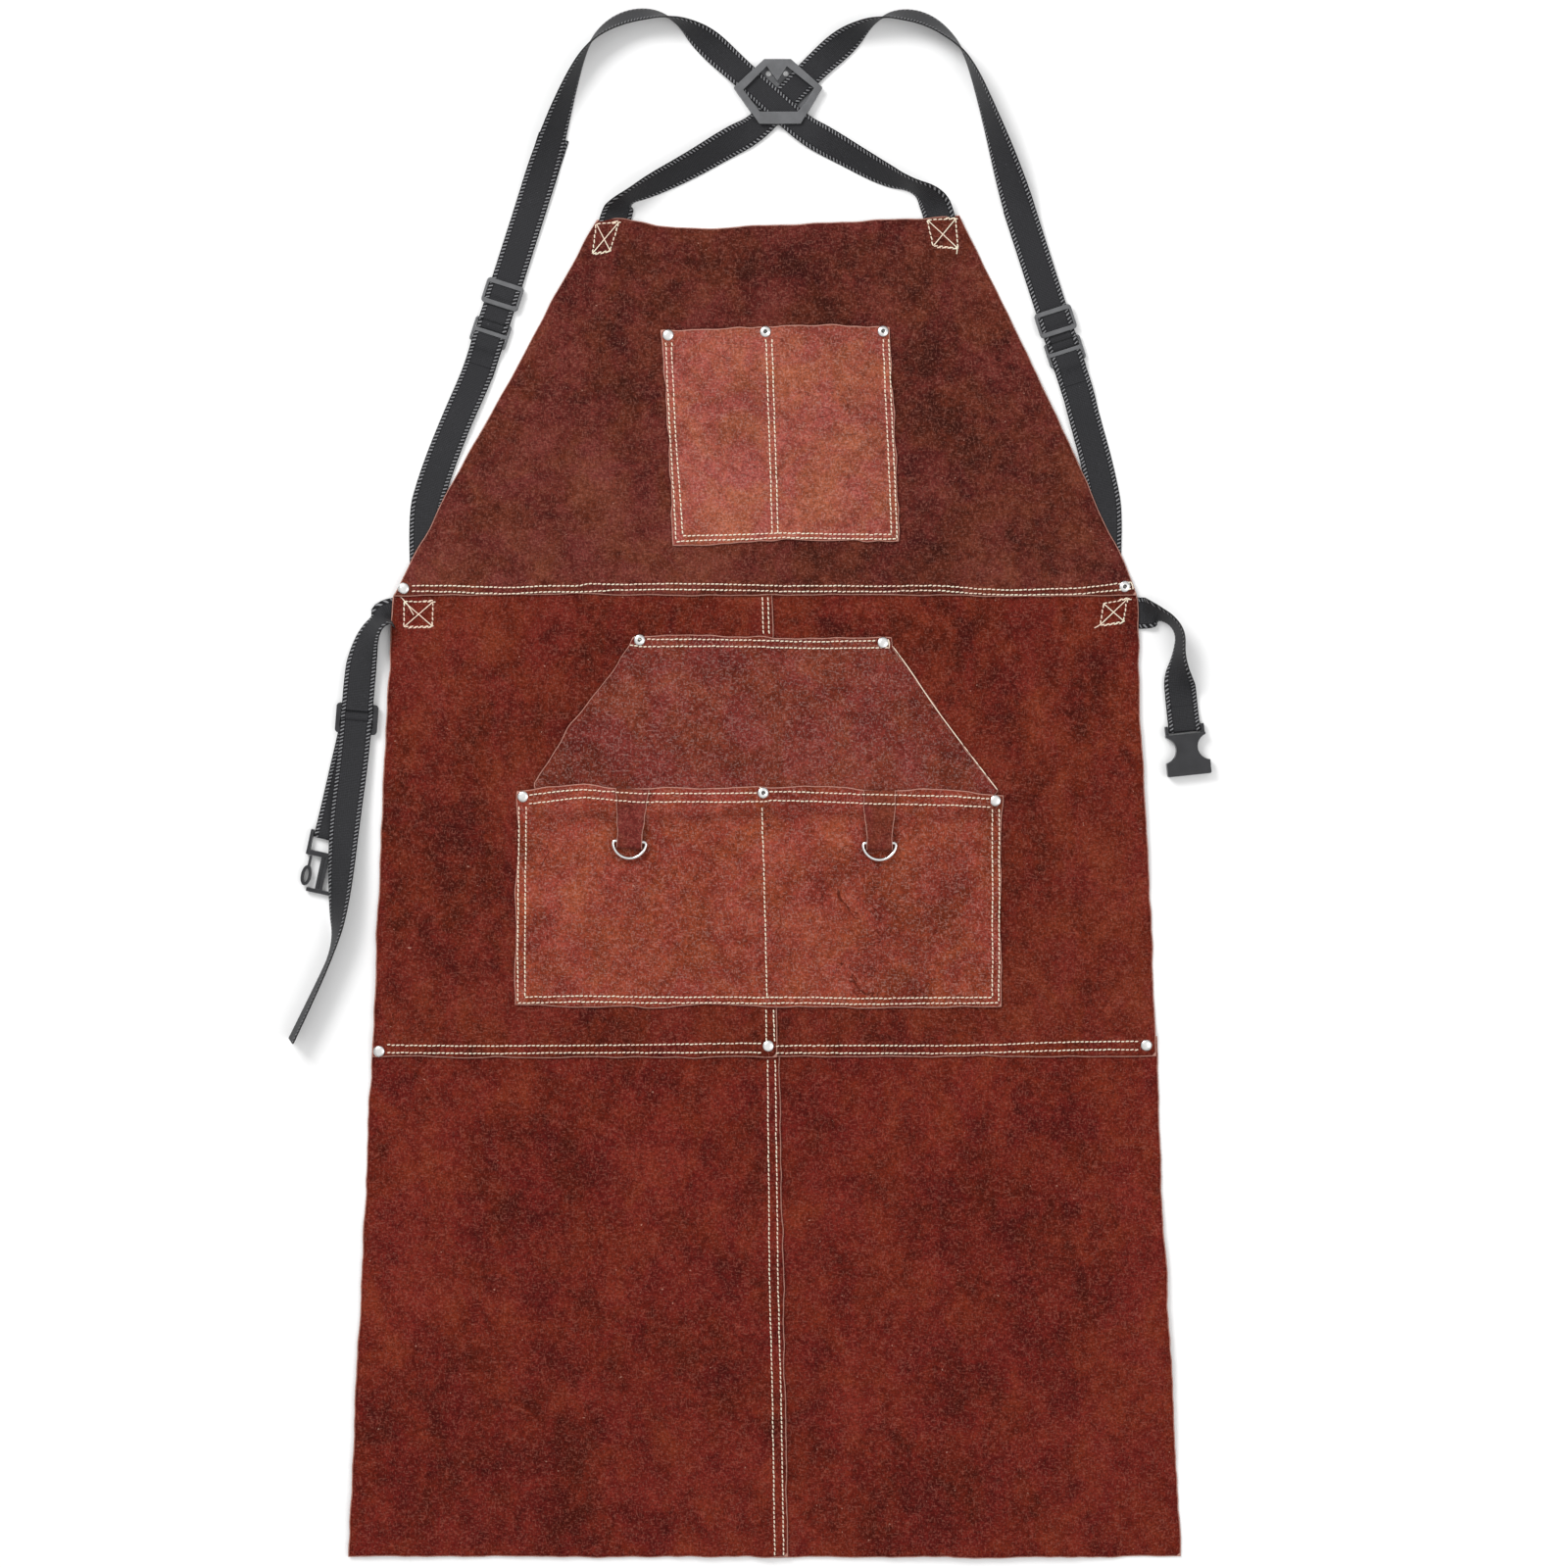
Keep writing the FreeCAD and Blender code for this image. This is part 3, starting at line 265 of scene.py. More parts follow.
def thread():
    s = Shader("cream_thread")
    place = s.place()
    ply = s.node("ShaderNodeTexWave", {"Vector": s.shift(place, rotation=(0, 0, 0.7)), "Scale": 420.0,
                                       "Distortion": 1.5, "Detail": 2.0}).outputs["Fac"]
    tone = s.noise(place, 60.0, 3.0)
    colour = s.mix(s.ramp(tone, 0.3, 0.7), (0.88, 0.66, 0.52), (0.93, 0.87, 0.68))
    colour = s.mix(s.math("MULTIPLY", ply, 0.18), colour, (0.50, 0.36, 0.24))
    return s.surface(Base_Color=colour, Roughness=0.7, Sheen_Weight=0.2, Normal=s.bump(ply, 0.0002, 0.5))


def nickel(name, rough, bright=(0.86, 0.86, 0.85), dull=(0.70, 0.69, 0.67)):
    s = Shader(name)
    place = s.place()
    smear = s.noise(place, 240.0, 4.0, 0.6)
    spots = s.noise(place, 1500.0, 2.0)
    colour = s.mix(s.ramp(smear, 0.35, 0.7), bright, dull)
    return s.surface(Base_Color=colour, Metallic=1.0,
                     Roughness=s.ramp(smear, 0.3, 0.7, rough, rough + 0.14),
                     Normal=s.bump(spots, 0.00006, 0.5))


def plastic(name, dark, light, edge_colour, rough):
    """Moulded plastic with a fine grain; its edges are slightly rounded and painted paler in patches."""
    s = Shader(name)
    place = s.place()
    grain = s.noise(place, 2200.0, 2.0, 0.6)
    smear = s.noise(place, 90.0, 4.0, 0.6)
    colour = s.mix(s.ramp(smear, 0.3, 0.7), dark, light)
    rounded = s.node("ShaderNodeBevel", {"Radius": 0.00055}, samples=6).outputs["Normal"]
    plain = s.node("ShaderNodeNewGeometry").outputs["Normal"]
    match = s.node("ShaderNodeVectorMath", {0: rounded, 1: plain}, operation="DOT_PRODUCT").outputs["Value"]
    # the edges are painted paler in patches, where the bevelled normal turns away from the face
    pale_edge = s.ramp(match, 0.995, 0.90, 0.0, 0.8)
    pale_edge = s.math("MULTIPLY", pale_edge, s.ramp(s.noise(place, 420.0, 3.0), 0.3, 0.6, 0.4, 1.0))
    colour = s.mix(pale_edge, colour, edge_colour)
    return s.surface(Base_Color=colour, Roughness=s.ramp(smear, 0.3, 0.7, rough, rough + 0.14),
                     Specular_IOR_Level=0.45, Normal=s.bump(grain, 0.00006, 0.5, rounded))


WEBBING = webbing()
EDGE = raw_edge()
THREAD = thread()
RIVET = nickel("nickel_rivet", 0.18)
# the dark nickel inside a dimpled rivet's hole is painted shade
HOLE_SHADE = nickel("rivet_hole_shade", 0.45, (0.16, 0.15, 0.14), (0.08, 0.08, 0.08))
RING = nickel("nickel_ring", 0.10)
GREY_PLASTIC = plastic("grey_plastic", (0.085, 0.086, 0.090), (0.115, 0.116, 0.122),
                       (0.26, 0.26, 0.27), 0.42)
DARK_PLASTIC = plastic("dark_plastic", (0.010, 0.010, 0.012), (0.017, 0.017, 0.020),
                       (0.12, 0.12, 0.13), 0.28)

POCKET_FLECK = (0.24, 0.23, 0.21)             # how much paler the loose fibres of a pocket are
BIB = suede("suede_bib", (0.0360, 0.0065, 0.0049), (0.0884, 0.0160, 0.0102), (0.1409, 0.0329, 0.0219),
            (0.0, 0.0, 0.0))
SKIRT = suede("suede_skirt", (0.0483, 0.0060, 0.0037), (0.1078, 0.0128, 0.0069), (0.1561, 0.0243, 0.0130),
              (1.3, 0.6, 0.2), stretch=(1.25, 0.8, 1.0))
LOWER = suede("suede_lower_skirt",
              (0.0530, 0.0055, 0.0037), (0.1097, 0.0111, 0.0068), (0.1627, 0.0218, 0.0114),
              (2.7, 1.9, 0.5), stretch=(1.1, 0.85, 1.0))
CHEST = suede("suede_chest_pocket",
              (0.1496, 0.0312, 0.0182), (0.2469, 0.0565, 0.0353), (0.3367, 0.0888, 0.0588),
              (0.9, 3.3, 0.1), creases=0.5, fleck=POCKET_FLECK)
YOKE = suede("suede_yoke", (0.0773, 0.0113, 0.0068), (0.1362, 0.0221, 0.0136), (0.1987, 0.0399, 0.0264),
             (4.1, 0.8, 0.7), creases=0.6, fleck=POCKET_FLECK)
FRONT = suede("suede_pocket_front",
              (0.1142, 0.0165, 0.0081), (0.1988, 0.0330, 0.0171), (0.2792, 0.0569, 0.0318),
              (5.2, 2.5, 0.3), creases=0.8, fleck=POCKET_FLECK)
TAB = suede("suede_tab", (0.0537, 0.0103, 0.0070), (0.1125, 0.0185, 0.0120), (0.1662, 0.0335, 0.0220),
            (6.6, 4.4, 0.9))


# ------------------------------------------------------------------ webbing
def along(start, heading, distance):
    angle = math.radians(heading)
    return start[0] + distance * math.cos(angle), start[1] + distance * math.sin(angle)


def spline_points(points):
    """The smooth line of a NURBS spline that has these control points."""
    data = bpy.data.curves.new("route", "CURVE")
    data.dimensions = "3D"
    data.resolution_u = 16
    spline = data.splines.new("NURBS")
    spline.points.add(len(points) - 1)
    for spot, point in zip(spline.points, points):
        spot.co = (*point, 1.0)
    spline.order_u = 3
    spline.use_endpoint_u = True
    holder = bpy.data.objects.new("route", data)
    mesh = bpy.data.meshes.new_from_object(holder)
    line = np.array([vertex.co for vertex in mesh.vertices])
    bpy.data.meshes.remove(mesh)
    bpy.data.objects.remove(holder)
    bpy.data.curves.remove(data)
    return line


def respaced(columns, step):
    """The same line with its points about step apart; the first three columns are its place."""
    columns = np.asarray(columns)
    run = np.concatenate([[0], np.cumsum(np.linalg.norm(np.diff(columns[:, :3], axis=0), axis=1))])
    at = np.linspace(0, run[-1], max(3, int(run[-1] / step) + 1))
    return np.stack([np.interp(at, run, column) for column in columns.T], 1), at


PROFILE = np.array([-1.0, -0.96, -0.8, -0.55, -0.28, 0.0, 0.28, 0.55, 0.8, 0.96, 1.0])
EDGE_THIN = np.array([0.35, 0.8, 1.0, 1.0, 1.0, 1.0, 1.0, 1.0, 1.0, 0.8, 0.35])


def strap_mesh(name, centre, across, width, run):
    """Webbing as a closed mesh: centre line points, the direction across it, and its width."""
    heading = np.gradient(centre, axis=0)
    heading /= np.linalg.norm(heading, axis=1)[:, None]
    across = across - (across * heading).sum(1)[:, None] * heading
    across /= np.linalg.norm(across, axis=1)[:, None]
    through = np.cross(heading, across)
    count, wide = len(centre), len(PROFILE)
    half = width[:, None, None] / 2
    flat = centre[:, None] + across[:, None] * PROFILE[None, :, None] * half
    lift = through[:, None] * (EDGE_THIN[None, :, None] * WEB_THICK / 2)
    verts = np.concatenate([(flat + lift).reshape(-1, 3), (flat - lift).reshape(-1, 3)])
    index = np.arange(count * wide).reshape(count, wide)
    under = index + count * wide
    faces = [grid_faces(count, wide, 0, True), grid_faces(count, wide, count * wide)]
    for top, bottom in ((index[:, 0], under[:, 0]), (under[:, -1], index[:, -1])):
        faces.append(np.stack([top[:-1], top[1:], bottom[1:], bottom[:-1]], -1))
    for top, bottom in ((under[0], index[0]), (index[-1], under[-1])):
        faces.append(np.stack([top[:-1], top[1:], bottom[1:], bottom[:-1]], -1))
    piece = new_object(name, verts, np.concatenate(faces), [WEBBING])
    spread = np.broadcast_to(PROFILE * WEB_WIDTH / 2, (count, wide))
    place = np.stack([np.broadcast_to(run[:, None], (count, wide)), spread, spread * 0], -1)
    store(piece, "web", np.concatenate([place.reshape(-1, 3)] * 2))
    return piece


def declare(piece, body, replaces):
    """Attaches the webbing to its body and hides the CAD parts it replaces."""
    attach(piece, body)
    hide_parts(*replaces)


def strap(name, route, body="apron", replaces=(), **cord):
    """Webbing lying along a route of (x, y, roll in degrees, height of its lower edge, width)."""
    line = spline_points([point[:2] + (0.0,) for point in route])
    rest = spline_points([(math.radians(point[2]), point[3], point[4]) for point in route])
    columns, run = respaced(np.concatenate([line, rest], 1), 0.002)
    roll, base, width = columns[:, 3], columns[:, 4], columns[:, 5]
    heading = np.gradient(columns[:, :3], axis=0)
    heading /= np.linalg.norm(heading, axis=1)[:, None]
    side = np.stack([-heading[:, 1], heading[:, 0], np.zeros(len(run))], 1)
    across = side * np.cos(roll)[:, None] + np.array([0, 0, 1.0]) * np.sin(roll)[:, None]
    centre = columns[:, :3].copy()
    centre[:, 2] = base + np.abs(np.sin(roll)) * width / 2 + np.abs(np.cos(roll)) * WEB_THICK / 2
    piece = strap_mesh(name, centre, across, width, run)
    declare(piece, body, replaces)
    return piece


def fold(name, profile, spot, heading, body="apron", replaces=(), width=WEB_WIDTH, **cord):
    """Webbing that bends up and down only: profile points are (distance along, height)."""
    angle = math.radians(heading)
    ahead = np.array([math.cos(angle), math.sin(angle)])
    points = [(*(np.array(spot) + ahead * distance), height) for distance, height in profile]
    columns, run = respaced(spline_points(points), 0.0008)
    across = np.tile([-ahead[1], ahead[0], 0.0], (len(columns), 1))
    piece = strap_mesh(name, columns[:, :3], across, np.full(len(columns), width), run)
    declare(piece, body, replaces)
    return piece


LEFT_CORNER_END, LEFT_CORNER_EXIT = (-0.1270, 0.2720), (-0.1198, 0.3025)
RIGHT_CORNER_END, RIGHT_CORNER_EXIT = (0.1446, 0.2720), (0.1393, 0.3045)
CROSSING = (0.0098, 0.3909)
UNDER_WEB = WEB_THICK
OVER_WEB = 2 * WEB_THICK + LAYER_GAP
STRAP_LEVEL = WEB_THICK + LAYER_GAP
OVER_LINK = 2 * BAR_HEIGHT - WEB_THICK
SLIDER_HALF = 0.01025
SLIDER_SPOT = {"left": (-0.2096, 0.2401), "right": (0.2315, 0.2187)}
STRAP_HEADING = {"left": -107.8, "right": -72.2}
LINK_DISTANCE = {"left": 0.032, "right": 0.025}
TAIL_LENGTH = {"left": 0.133, "right": 0.096}

shoulder_routes = {
    "left": [
        (*LEFT_CORNER_END, 0, 0, WEB_WIDTH), (*LEFT_CORNER_EXIT, 0, 0, WEB_WIDTH),
        (-0.1130, 0.3150, 80, 0, WEB_WIDTH), (-0.0930, 0.3250, 55, 0, WEB_WIDTH),
        (-0.0600, 0.3420, 42, 0, WEB_WIDTH), (-0.0280, 0.3615, 32, 0, WEB_WIDTH),
        (-0.0080, 0.3725, 0, UNDER_WEB, PLATE_WEB_WIDTH), (*CROSSING, 0, UNDER_WEB, PLATE_WEB_WIDTH),
        (0.0410, 0.4234, 0, UNDER_WEB, PLATE_WEB_WIDTH), (0.0650, 0.4430, 40, 0, WEB_WIDTH),
        (0.0840, 0.4565, 85, 0, WEB_WIDTH), (0.1050, 0.4630, 120, 0, WEB_WIDTH),
        (0.1280, 0.4595, 125, 0, WEB_WIDTH), (0.1490, 0.4440, 110, 0, WEB_WIDTH),
        (0.1635, 0.4245, 85, 0, WEB_WIDTH)],
    "right": [
        (*RIGHT_CORNER_END, 0, 0, WEB_WIDTH), (*RIGHT_CORNER_EXIT, 0, 0, WEB_WIDTH),
        (0.1315, 0.3185, -50, 0, WEB_WIDTH), (0.1170, 0.3265, -80, 0, WEB_WIDTH),
        (0.0960, 0.3340, -52, 0, WEB_WIDTH), (0.0540, 0.3585, -38, 0, WEB_WIDTH),
        (0.0300, 0.3727, 0, OVER_WEB, PLATE_WEB_WIDTH), (*CROSSING, 0, OVER_WEB, PLATE_WEB_WIDTH),
        (-0.0260, 0.4229, 0, OVER_WEB, PLATE_WEB_WIDTH), (-0.0490, 0.4435, -40, 0, WEB_WIDTH),
        (-0.0680, 0.4570, -85, 0, WEB_WIDTH), (-0.0900, 0.4635, -120, 0, WEB_WIDTH),
        (-0.1130, 0.4605, -125, 0, WEB_WIDTH), (-0.1330, 0.4480, -110, 0, WEB_WIDTH),
        (-0.1460, 0.4300, -85, 0, WEB_WIDTH)]}
strap_exit = {"left": (-0.1212, 0.2975, 0.001), "right": (0.1405, 0.2985, 0.001)}
strap_length = {"left": 0.617, "right": 0.607}

for label, far, sign in (("left", "right", 1), ("right", "left", -1)):
    spot, heading = SLIDER_SPOT[far], STRAP_HEADING[far]
    to_link = LINK_DISTANCE[far] - LINK_BAR
    route = list(shoulder_routes[label])
    for distance, roll, base in ((-0.165, 60, 0), (-0.115, 28, STRAP_LEVEL), (-0.084, 0, STRAP_LEVEL),
                                 (-0.030, 0, STRAP_LEVEL), (SLIDER_HALF + 0.0006, 0, STRAP_LEVEL),
                                 (to_link - 0.0016, 0, OVER_LINK), (to_link - 0.0003, 0, OVER_LINK)):
        route.append((*along(spot, heading, distance), sign * roll, base, WEB_WIDTH))
    strap(f"shoulder_strap_{label}_web", route, replaces=[f"shoulder_strap_{label}"],
          exit=strap_exit[label], length=strap_length[label], far_end="object")


def turn_round(bar, way, reach=1.08 * LOOP_R):
    """Profile points of webbing going round a bar from its top to its underside."""
    return [(bar, BAR_HEIGHT + LOOP_R), (bar + way * reach, BAR_HEIGHT + LOOP_R),
            (bar + way * reach, BAR_HEIGHT - LOOP_R), (bar, BAR_HEIGHT - LOOP_R)]


for label, spot in SLIDER_SPOT.items():
    heading = STRAP_HEADING[label]
    to_link = LINK_DISTANCE[label] - LINK_BAR
    bar = along(spot, heading, to_link)
    end = -to_link - TAIL_LENGTH[label]
    tail = turn_round(0, 1, LINK_REACH)
    tail += [(-0.012, WEB_THICK / 2), (-to_link - TAIL_LENGTH[label] / 2, WEB_THICK / 2)]
    tail += [(end, WEB_THICK / 2)]
    fold(f"shoulder_strap_tail_{label}_web", tail, bar, heading, replaces=[f"shoulder_strap_tail_{label}"],
         exit=(*bar, 0.003), length=to_link + TAIL_LENGTH[label] + 0.008, far_end="bare")
    crest, foot = 0.00555, 0.0044
    over = [(-0.00635, foot), (-0.0042, foot + 0.0003), (-0.0021, crest), (0.0021, crest),
            (0.0042, foot + 0.0003), (0.00635, foot)]
    fold(f"slider_fold_{label}_web", over, spot, heading, f"shoulder_slider_{label}",
         [f"slider_fold_{label}"], width=FOLD_WIDTH)

# side straps, from the link's lower bar to their seam under the bib
SIDE_X, SIDE_END_Y = 0.268, -0.027
side_routes = {
    "left": [(-0.2465, 0.1400, 8, 0, WEB_WIDTH), (-0.2640, 0.0960, 0, 0, WEB_WIDTH),
             (-0.2750, 0.0570, 0, 0, WEB_WIDTH), (-SIDE_X, SIDE_END_Y, 0, 0, WEB_WIDTH)],
    "right": [(0.2535, 0.1460, -8, 0, WEB_WIDTH), (0.2670, 0.0980, 0, 0, WEB_WIDTH),
              (0.2745, 0.0570, 0, 0, WEB_WIDTH), (SIDE_X, SIDE_END_Y, 0, 0, WEB_WIDTH)]}
FOLD_BACK, BAR_END = 0.026, 0.018
side_exit = {"left": (-0.2699, -0.0050, 0.001), "right": (0.2699, -0.0050, 0.001)}


def bar_end(name, bar, heading, reach, replaces=()):
    """Webbing folded round a bar; the strap itself goes on along the heading."""
    upper = STRAP_LEVEL + WEB_THICK / 2
    profile = [(FOLD_BACK, WEB_THICK / 2), (0.012, WEB_THICK / 2)] + turn_round(0, -1, reach)[::-1]
    profile += [(0.0040, 2 * BAR_HEIGHT - WEB_THICK / 2), (0.0095, upper), (BAR_END + 0.0004, upper)]
    return fold(name, profile, bar, heading, replaces=replaces)


for label, route in side_routes.items():
    heading = STRAP_HEADING[label]
    bar = along(SLIDER_SPOT[label], heading, LINK_DISTANCE[label] + LINK_BAR)
    start = [(*along(bar, heading, BAR_END), 0, STRAP_LEVEL, WEB_WIDTH),
             (*along(bar, heading, FOLD_BACK + 0.002), 0, STRAP_LEVEL, WEB_WIDTH)]
    strap(f"side_strap_{label}_web", start + route, replaces=[f"side_strap_{label}"],
          exit=side_exit[label], length={"left": 0.220, "right": 0.200}[label], far_end="object")
    bar_end(f"side_strap_{label}_fold", bar, heading, LINK_REACH)

# the belt's half with the plug
BELT_SPOT, BELT_HEADING = (-0.3259, -0.0983), -94.5
BELT_Y, BELT_END_X, BELT_EXIT_X = -0.014, 0.261, 0.3005
BELT_LEVEL = 0.0065
strap("belt_strap_left_web", [
    (-BELT_END_X, BELT_Y, 0, WEB_THICK, WEB_WIDTH), (-0.2965, BELT_Y, 0, WEB_THICK, WEB_WIDTH),
    (-BELT_EXIT_X, -0.0150, 0, WEB_THICK, WEB_WIDTH), (-0.3070, -0.0185, 60, 0, WEB_WIDTH),
    (-0.3160, -0.0315, 42, 0, WEB_WIDTH), (-0.3205, -0.0470, 22, 0.002, WEB_WIDTH),
    (*along(BELT_SPOT, BELT_HEADING, -0.036), 0, BELT_LEVEL, WEB_WIDTH),
    (*along(BELT_SPOT, BELT_HEADING, -0.0065), 0, BELT_LEVEL, WEB_WIDTH)],
    replaces=["belt_strap_left"], exit=(-0.290, BELT_Y, 0.002), length=0.126, far_end="object")
strap("belt_tail_web", [
    (*along(BELT_SPOT, BELT_HEADING, 0.001), 0, BELT_LEVEL, WEB_WIDTH),
    (*along(BELT_SPOT, BELT_HEADING, 0.028), 0, BELT_LEVEL, WEB_WIDTH),
    (-0.3355, -0.1840, 12, BELT_LEVEL, WEB_WIDTH), (-0.3390, -0.2480, 45, 0.006, WEB_WIDTH),
    (-0.3425, -0.2800, 80, 0, WEB_WIDTH), (-0.3580, -0.3150, 76, 0, WEB_WIDTH),
    (-0.3775, -0.3550, 74, 0, WEB_WIDTH)],
    replaces=["belt_tail"], exit=(*BELT_SPOT, 0.006), length=0.264, far_end="bare")
PLUG_SPOT = (-0.3475, -0.1923)
loop_heading = math.degrees(math.atan2(PLUG_SPOT[1] - BELT_SPOT[1], PLUG_SPOT[0] - BELT_SPOT[0]))
loop_run = math.dist(BELT_SPOT, PLUG_SPOT)
upper = STRAP_LEVEL + WEB_THICK / 2
fold("belt_loop_web", [(0, upper), (0.040, upper), (loop_run - 0.013, upper),
                       (loop_run - 0.004, 2 * BAR_HEIGHT - WEB_THICK / 2)]
     + turn_round(loop_run, 1) + [(loop_run - 0.012, WEB_THICK / 2), (0, WEB_THICK / 2)],
     BELT_SPOT, loop_heading, replaces=["belt_loop"])
belt_over = [(-0.0072, 0.0044), (-0.0046, 0.0047), (-0.0022, 0.0056), (0.0022, 0.0056),
             (0.0046, 0.0047), (0.0072, 0.0044)]
fold("belt_slider_fold_web", belt_over, BELT_SPOT, BELT_HEADING, "belt_slider", ["belt_slider_fold"],
     width=FOLD_WIDTH)

# the belt's half with the socket
SOCKET_SPOT, SOCKET_HEADING = (0.3345, -0.1061), -84.0
strap("belt_strap_right_web", [
    (BELT_END_X, BELT_Y, 0, WEB_THICK, WEB_WIDTH), (0.2985, BELT_Y, 0, WEB_THICK, WEB_WIDTH),
    (BELT_EXIT_X + 0.0015, BELT_Y, 0, WEB_THICK, WEB_WIDTH), (0.3115, -0.0140, 68, 0, WEB_WIDTH),
    (0.3235, -0.0195, 80, 0, WEB_WIDTH), (0.3310, -0.0310, 80, 0, WEB_WIDTH),
    (0.3290, -0.0480, 74, 0, WEB_WIDTH), (0.3291, -0.0640, 42, 0.001, WEB_WIDTH),
    (*along(SOCKET_SPOT, SOCKET_HEADING, -FOLD_BACK - 0.002), 0, STRAP_LEVEL, WEB_WIDTH),
    (*along(SOCKET_SPOT, SOCKET_HEADING, -BAR_END), 0, STRAP_LEVEL, WEB_WIDTH)],
    replaces=["belt_strap_right"], exit=(0.290, BELT_Y, 0.002), length=0.131, far_end="object")
bar_end("belt_strap_right_fold", SOCKET_SPOT, SOCKET_HEADING + 180, 1.08 * LOOP_R)

# ------------------------------------------------------------------ heights of the layers
CELL = 0.002
GRID_X = np.arange(-0.400, 0.400, CELL)
GRID_Y = np.arange(-0.810, 0.350, CELL)
MESH_X, MESH_Y = np.meshgrid(GRID_X, GRID_Y)


def waves(seed, count, shortest, longest, power=0.5):
    """A smooth random surface between about -1 and 1, as a function of x and y."""
    random = np.random.default_rng(seed)
    length = np.exp(random.uniform(math.log(shortest), math.log(longest), count))
    way = random.uniform(0, 2 * math.pi, count)
    phase = random.uniform(0, 2 * math.pi, count)
    size = (length / longest) ** power
    size /= np.sqrt((size ** 2).sum()) * 0.95

    def at(x, y):
        total = np.zeros(np.shape(x))
        for k in range(count):
            reach = (x * math.cos(way[k]) + y * math.sin(way[k])) * 2 * math.pi / length[k]
            total += size[k] * np.sin(reach + phase[k])
        return total
    return at


def smooth_step(value, low, high):
    share = np.clip((value - low) / (high - low), 0, 1)
    return share * share * (3 - 2 * share)


def inside(outline, x, y):
    found = np.zeros(np.shape(x), bool)
    for (x0, y0), (x1, y1) in zip(outline, outline[1:] + outline[:1]):
        cuts = (y0 > y) != (y1 > y)
        edge = x0 + (y - y0) * (x1 - x0) / np.where(y1 == y0, 1e-12, y1 - y0)
        found ^= cuts & (x < edge)
    return found


def line_distance(start, end, x, y):
    start, end = np.array(start), np.array(end)
    way = end - start
    share = np.clip(((x - start[0]) * way[0] + (y - start[1]) * way[1]) / (way @ way), 0, 1)
    return np.hypot(x - start[0] - share * way[0], y - start[1] - share * way[1])


def spread_up(field, cells):
    """Each cell takes the highest of its neighbours."""
    out = field.copy()
    for axis in (0, 1):
        grown = out.copy()
        for step in range(1, cells + 1):
            grown = np.maximum(grown, np.maximum(np.roll(out, step, axis), np.roll(out, -step, axis)))
        out = grown
    return out


def soften(field, cells):
    out = field
    for axis in (0, 1):
        out = sum(np.roll(out, step, axis) for step in range(-cells, cells + 1)) / (2 * cells + 1)
    return out


def sample(field, x, y):
    u = np.clip((np.asarray(x) - GRID_X[0]) / CELL, 0, len(GRID_X) - 1.001)
    v = np.clip((np.asarray(y) - GRID_Y[0]) / CELL, 0, len(GRID_Y) - 1.001)
    i, j = u.astype(int), v.astype(int)
    u, v = u - i, v - j
    return ((1 - v) * ((1 - u) * field[j, i] + u * field[j, i + 1])
            + v * ((1 - u) * field[j + 1, i] + u * field[j + 1, i + 1]))


def sample_high(field, x, y):
    i = np.clip(((np.asarray(x) - GRID_X[0]) / CELL).astype(int), 0, len(GRID_X) - 2)
    j = np.clip(((np.asarray(y) - GRID_Y[0]) / CELL).astype(int), 0, len(GRID_Y) - 2)
    return np.maximum(np.maximum(field[j, i], field[j, i + 1]),
                      np.maximum(field[j + 1, i], field[j + 1, i + 1]))


def strip(start, end, width):
    way = np.array(end) - np.array(start)
    side = np.array([-way[1], way[0]]) / np.hypot(*way) * width / 2
    start, end = np.array(start), np.array(end)
    return [tuple(start - side), tuple(end - side), tuple(end + side), tuple(start + side)]


swell = waves(11, 16, 0.12, 0.42)
calm = smooth_step(np.minimum(np.abs(MESH_X) - 0.150, 0.12), 0.0, 0.06)
calm = np.maximum(calm, smooth_step(np.abs(MESH_Y + 0.185), 0.08, 0.20))
lift = 0.0030 * np.clip(0.5 + 0.55 * swell(MESH_X, MESH_Y), 0.05, 1.2) * (0.12 + 0.88 * calm)
top = lift.copy()                      # the highest surface so far, over the whole grid

for start, end, thick in ((LEFT_CORNER_END, LEFT_CORNER_EXIT, WEB_THICK),
                          (RIGHT_CORNER_END, RIGHT_CORNER_EXIT, WEB_THICK),
                          ((-SIDE_X, SIDE_END_Y), (-0.275, 0.057), WEB_THICK),
                          ((SIDE_X, SIDE_END_Y), (0.2745, 0.057), WEB_THICK),
                          ((-0.275, 0.057), (-0.264, 0.096), WEB_THICK),
                          ((0.2745, 0.057), (0.267, 0.098), WEB_THICK),
                          ((-BELT_END_X, BELT_Y), (-BELT_EXIT_X, BELT_Y), 2 * WEB_THICK),
                          ((BELT_END_X, BELT_Y), (BELT_EXIT_X, BELT_Y), 2 * WEB_THICK)):
    under = inside(strip(start, end, WEB_WIDTH + 0.003), MESH_X, MESH_Y)
    top = np.where(under, np.maximum(top, thick + 0.0001), top)


def polyline(points, count):
    points = np.asarray(points, float)
    run = np.concatenate([[0], np.cumsum(np.linalg.norm(np.diff(points, axis=0), axis=1))])
    at = np.linspace(0, run[-1], count)
    return np.stack([np.interp(at, run, points[:, 0]), np.interp(at, run, points[:, 1])], 1)


def patch(bottom, right, peak, left, step):
    """A grid of points filling four sides; bottom and peak run rightwards, the others upwards."""
    def length(points):
        return sum(math.dist(a, b) for a, b in zip(points, points[1:]))
    columns = int(max(length(bottom), length(peak)) / step) + 1
    rows = int(max(length(left), length(right)) / step) + 1
    b, p = polyline(bottom, columns), polyline(peak, columns)
    l, r = polyline(left, rows), polyline(right, rows)
    u = np.linspace(0, 1, columns)[None, :, None]
    v = np.linspace(0, 1, rows)[:, None, None]
    plane = (1 - v) * b[None] + v * p[None] + (1 - u) * l[:, None] + u * r[:, None]
    plane -= (1 - u) * (1 - v) * b[0] + u * (1 - v) * b[-1] + (1 - u) * v * p[0] + u * v * p[-1]
    return plane
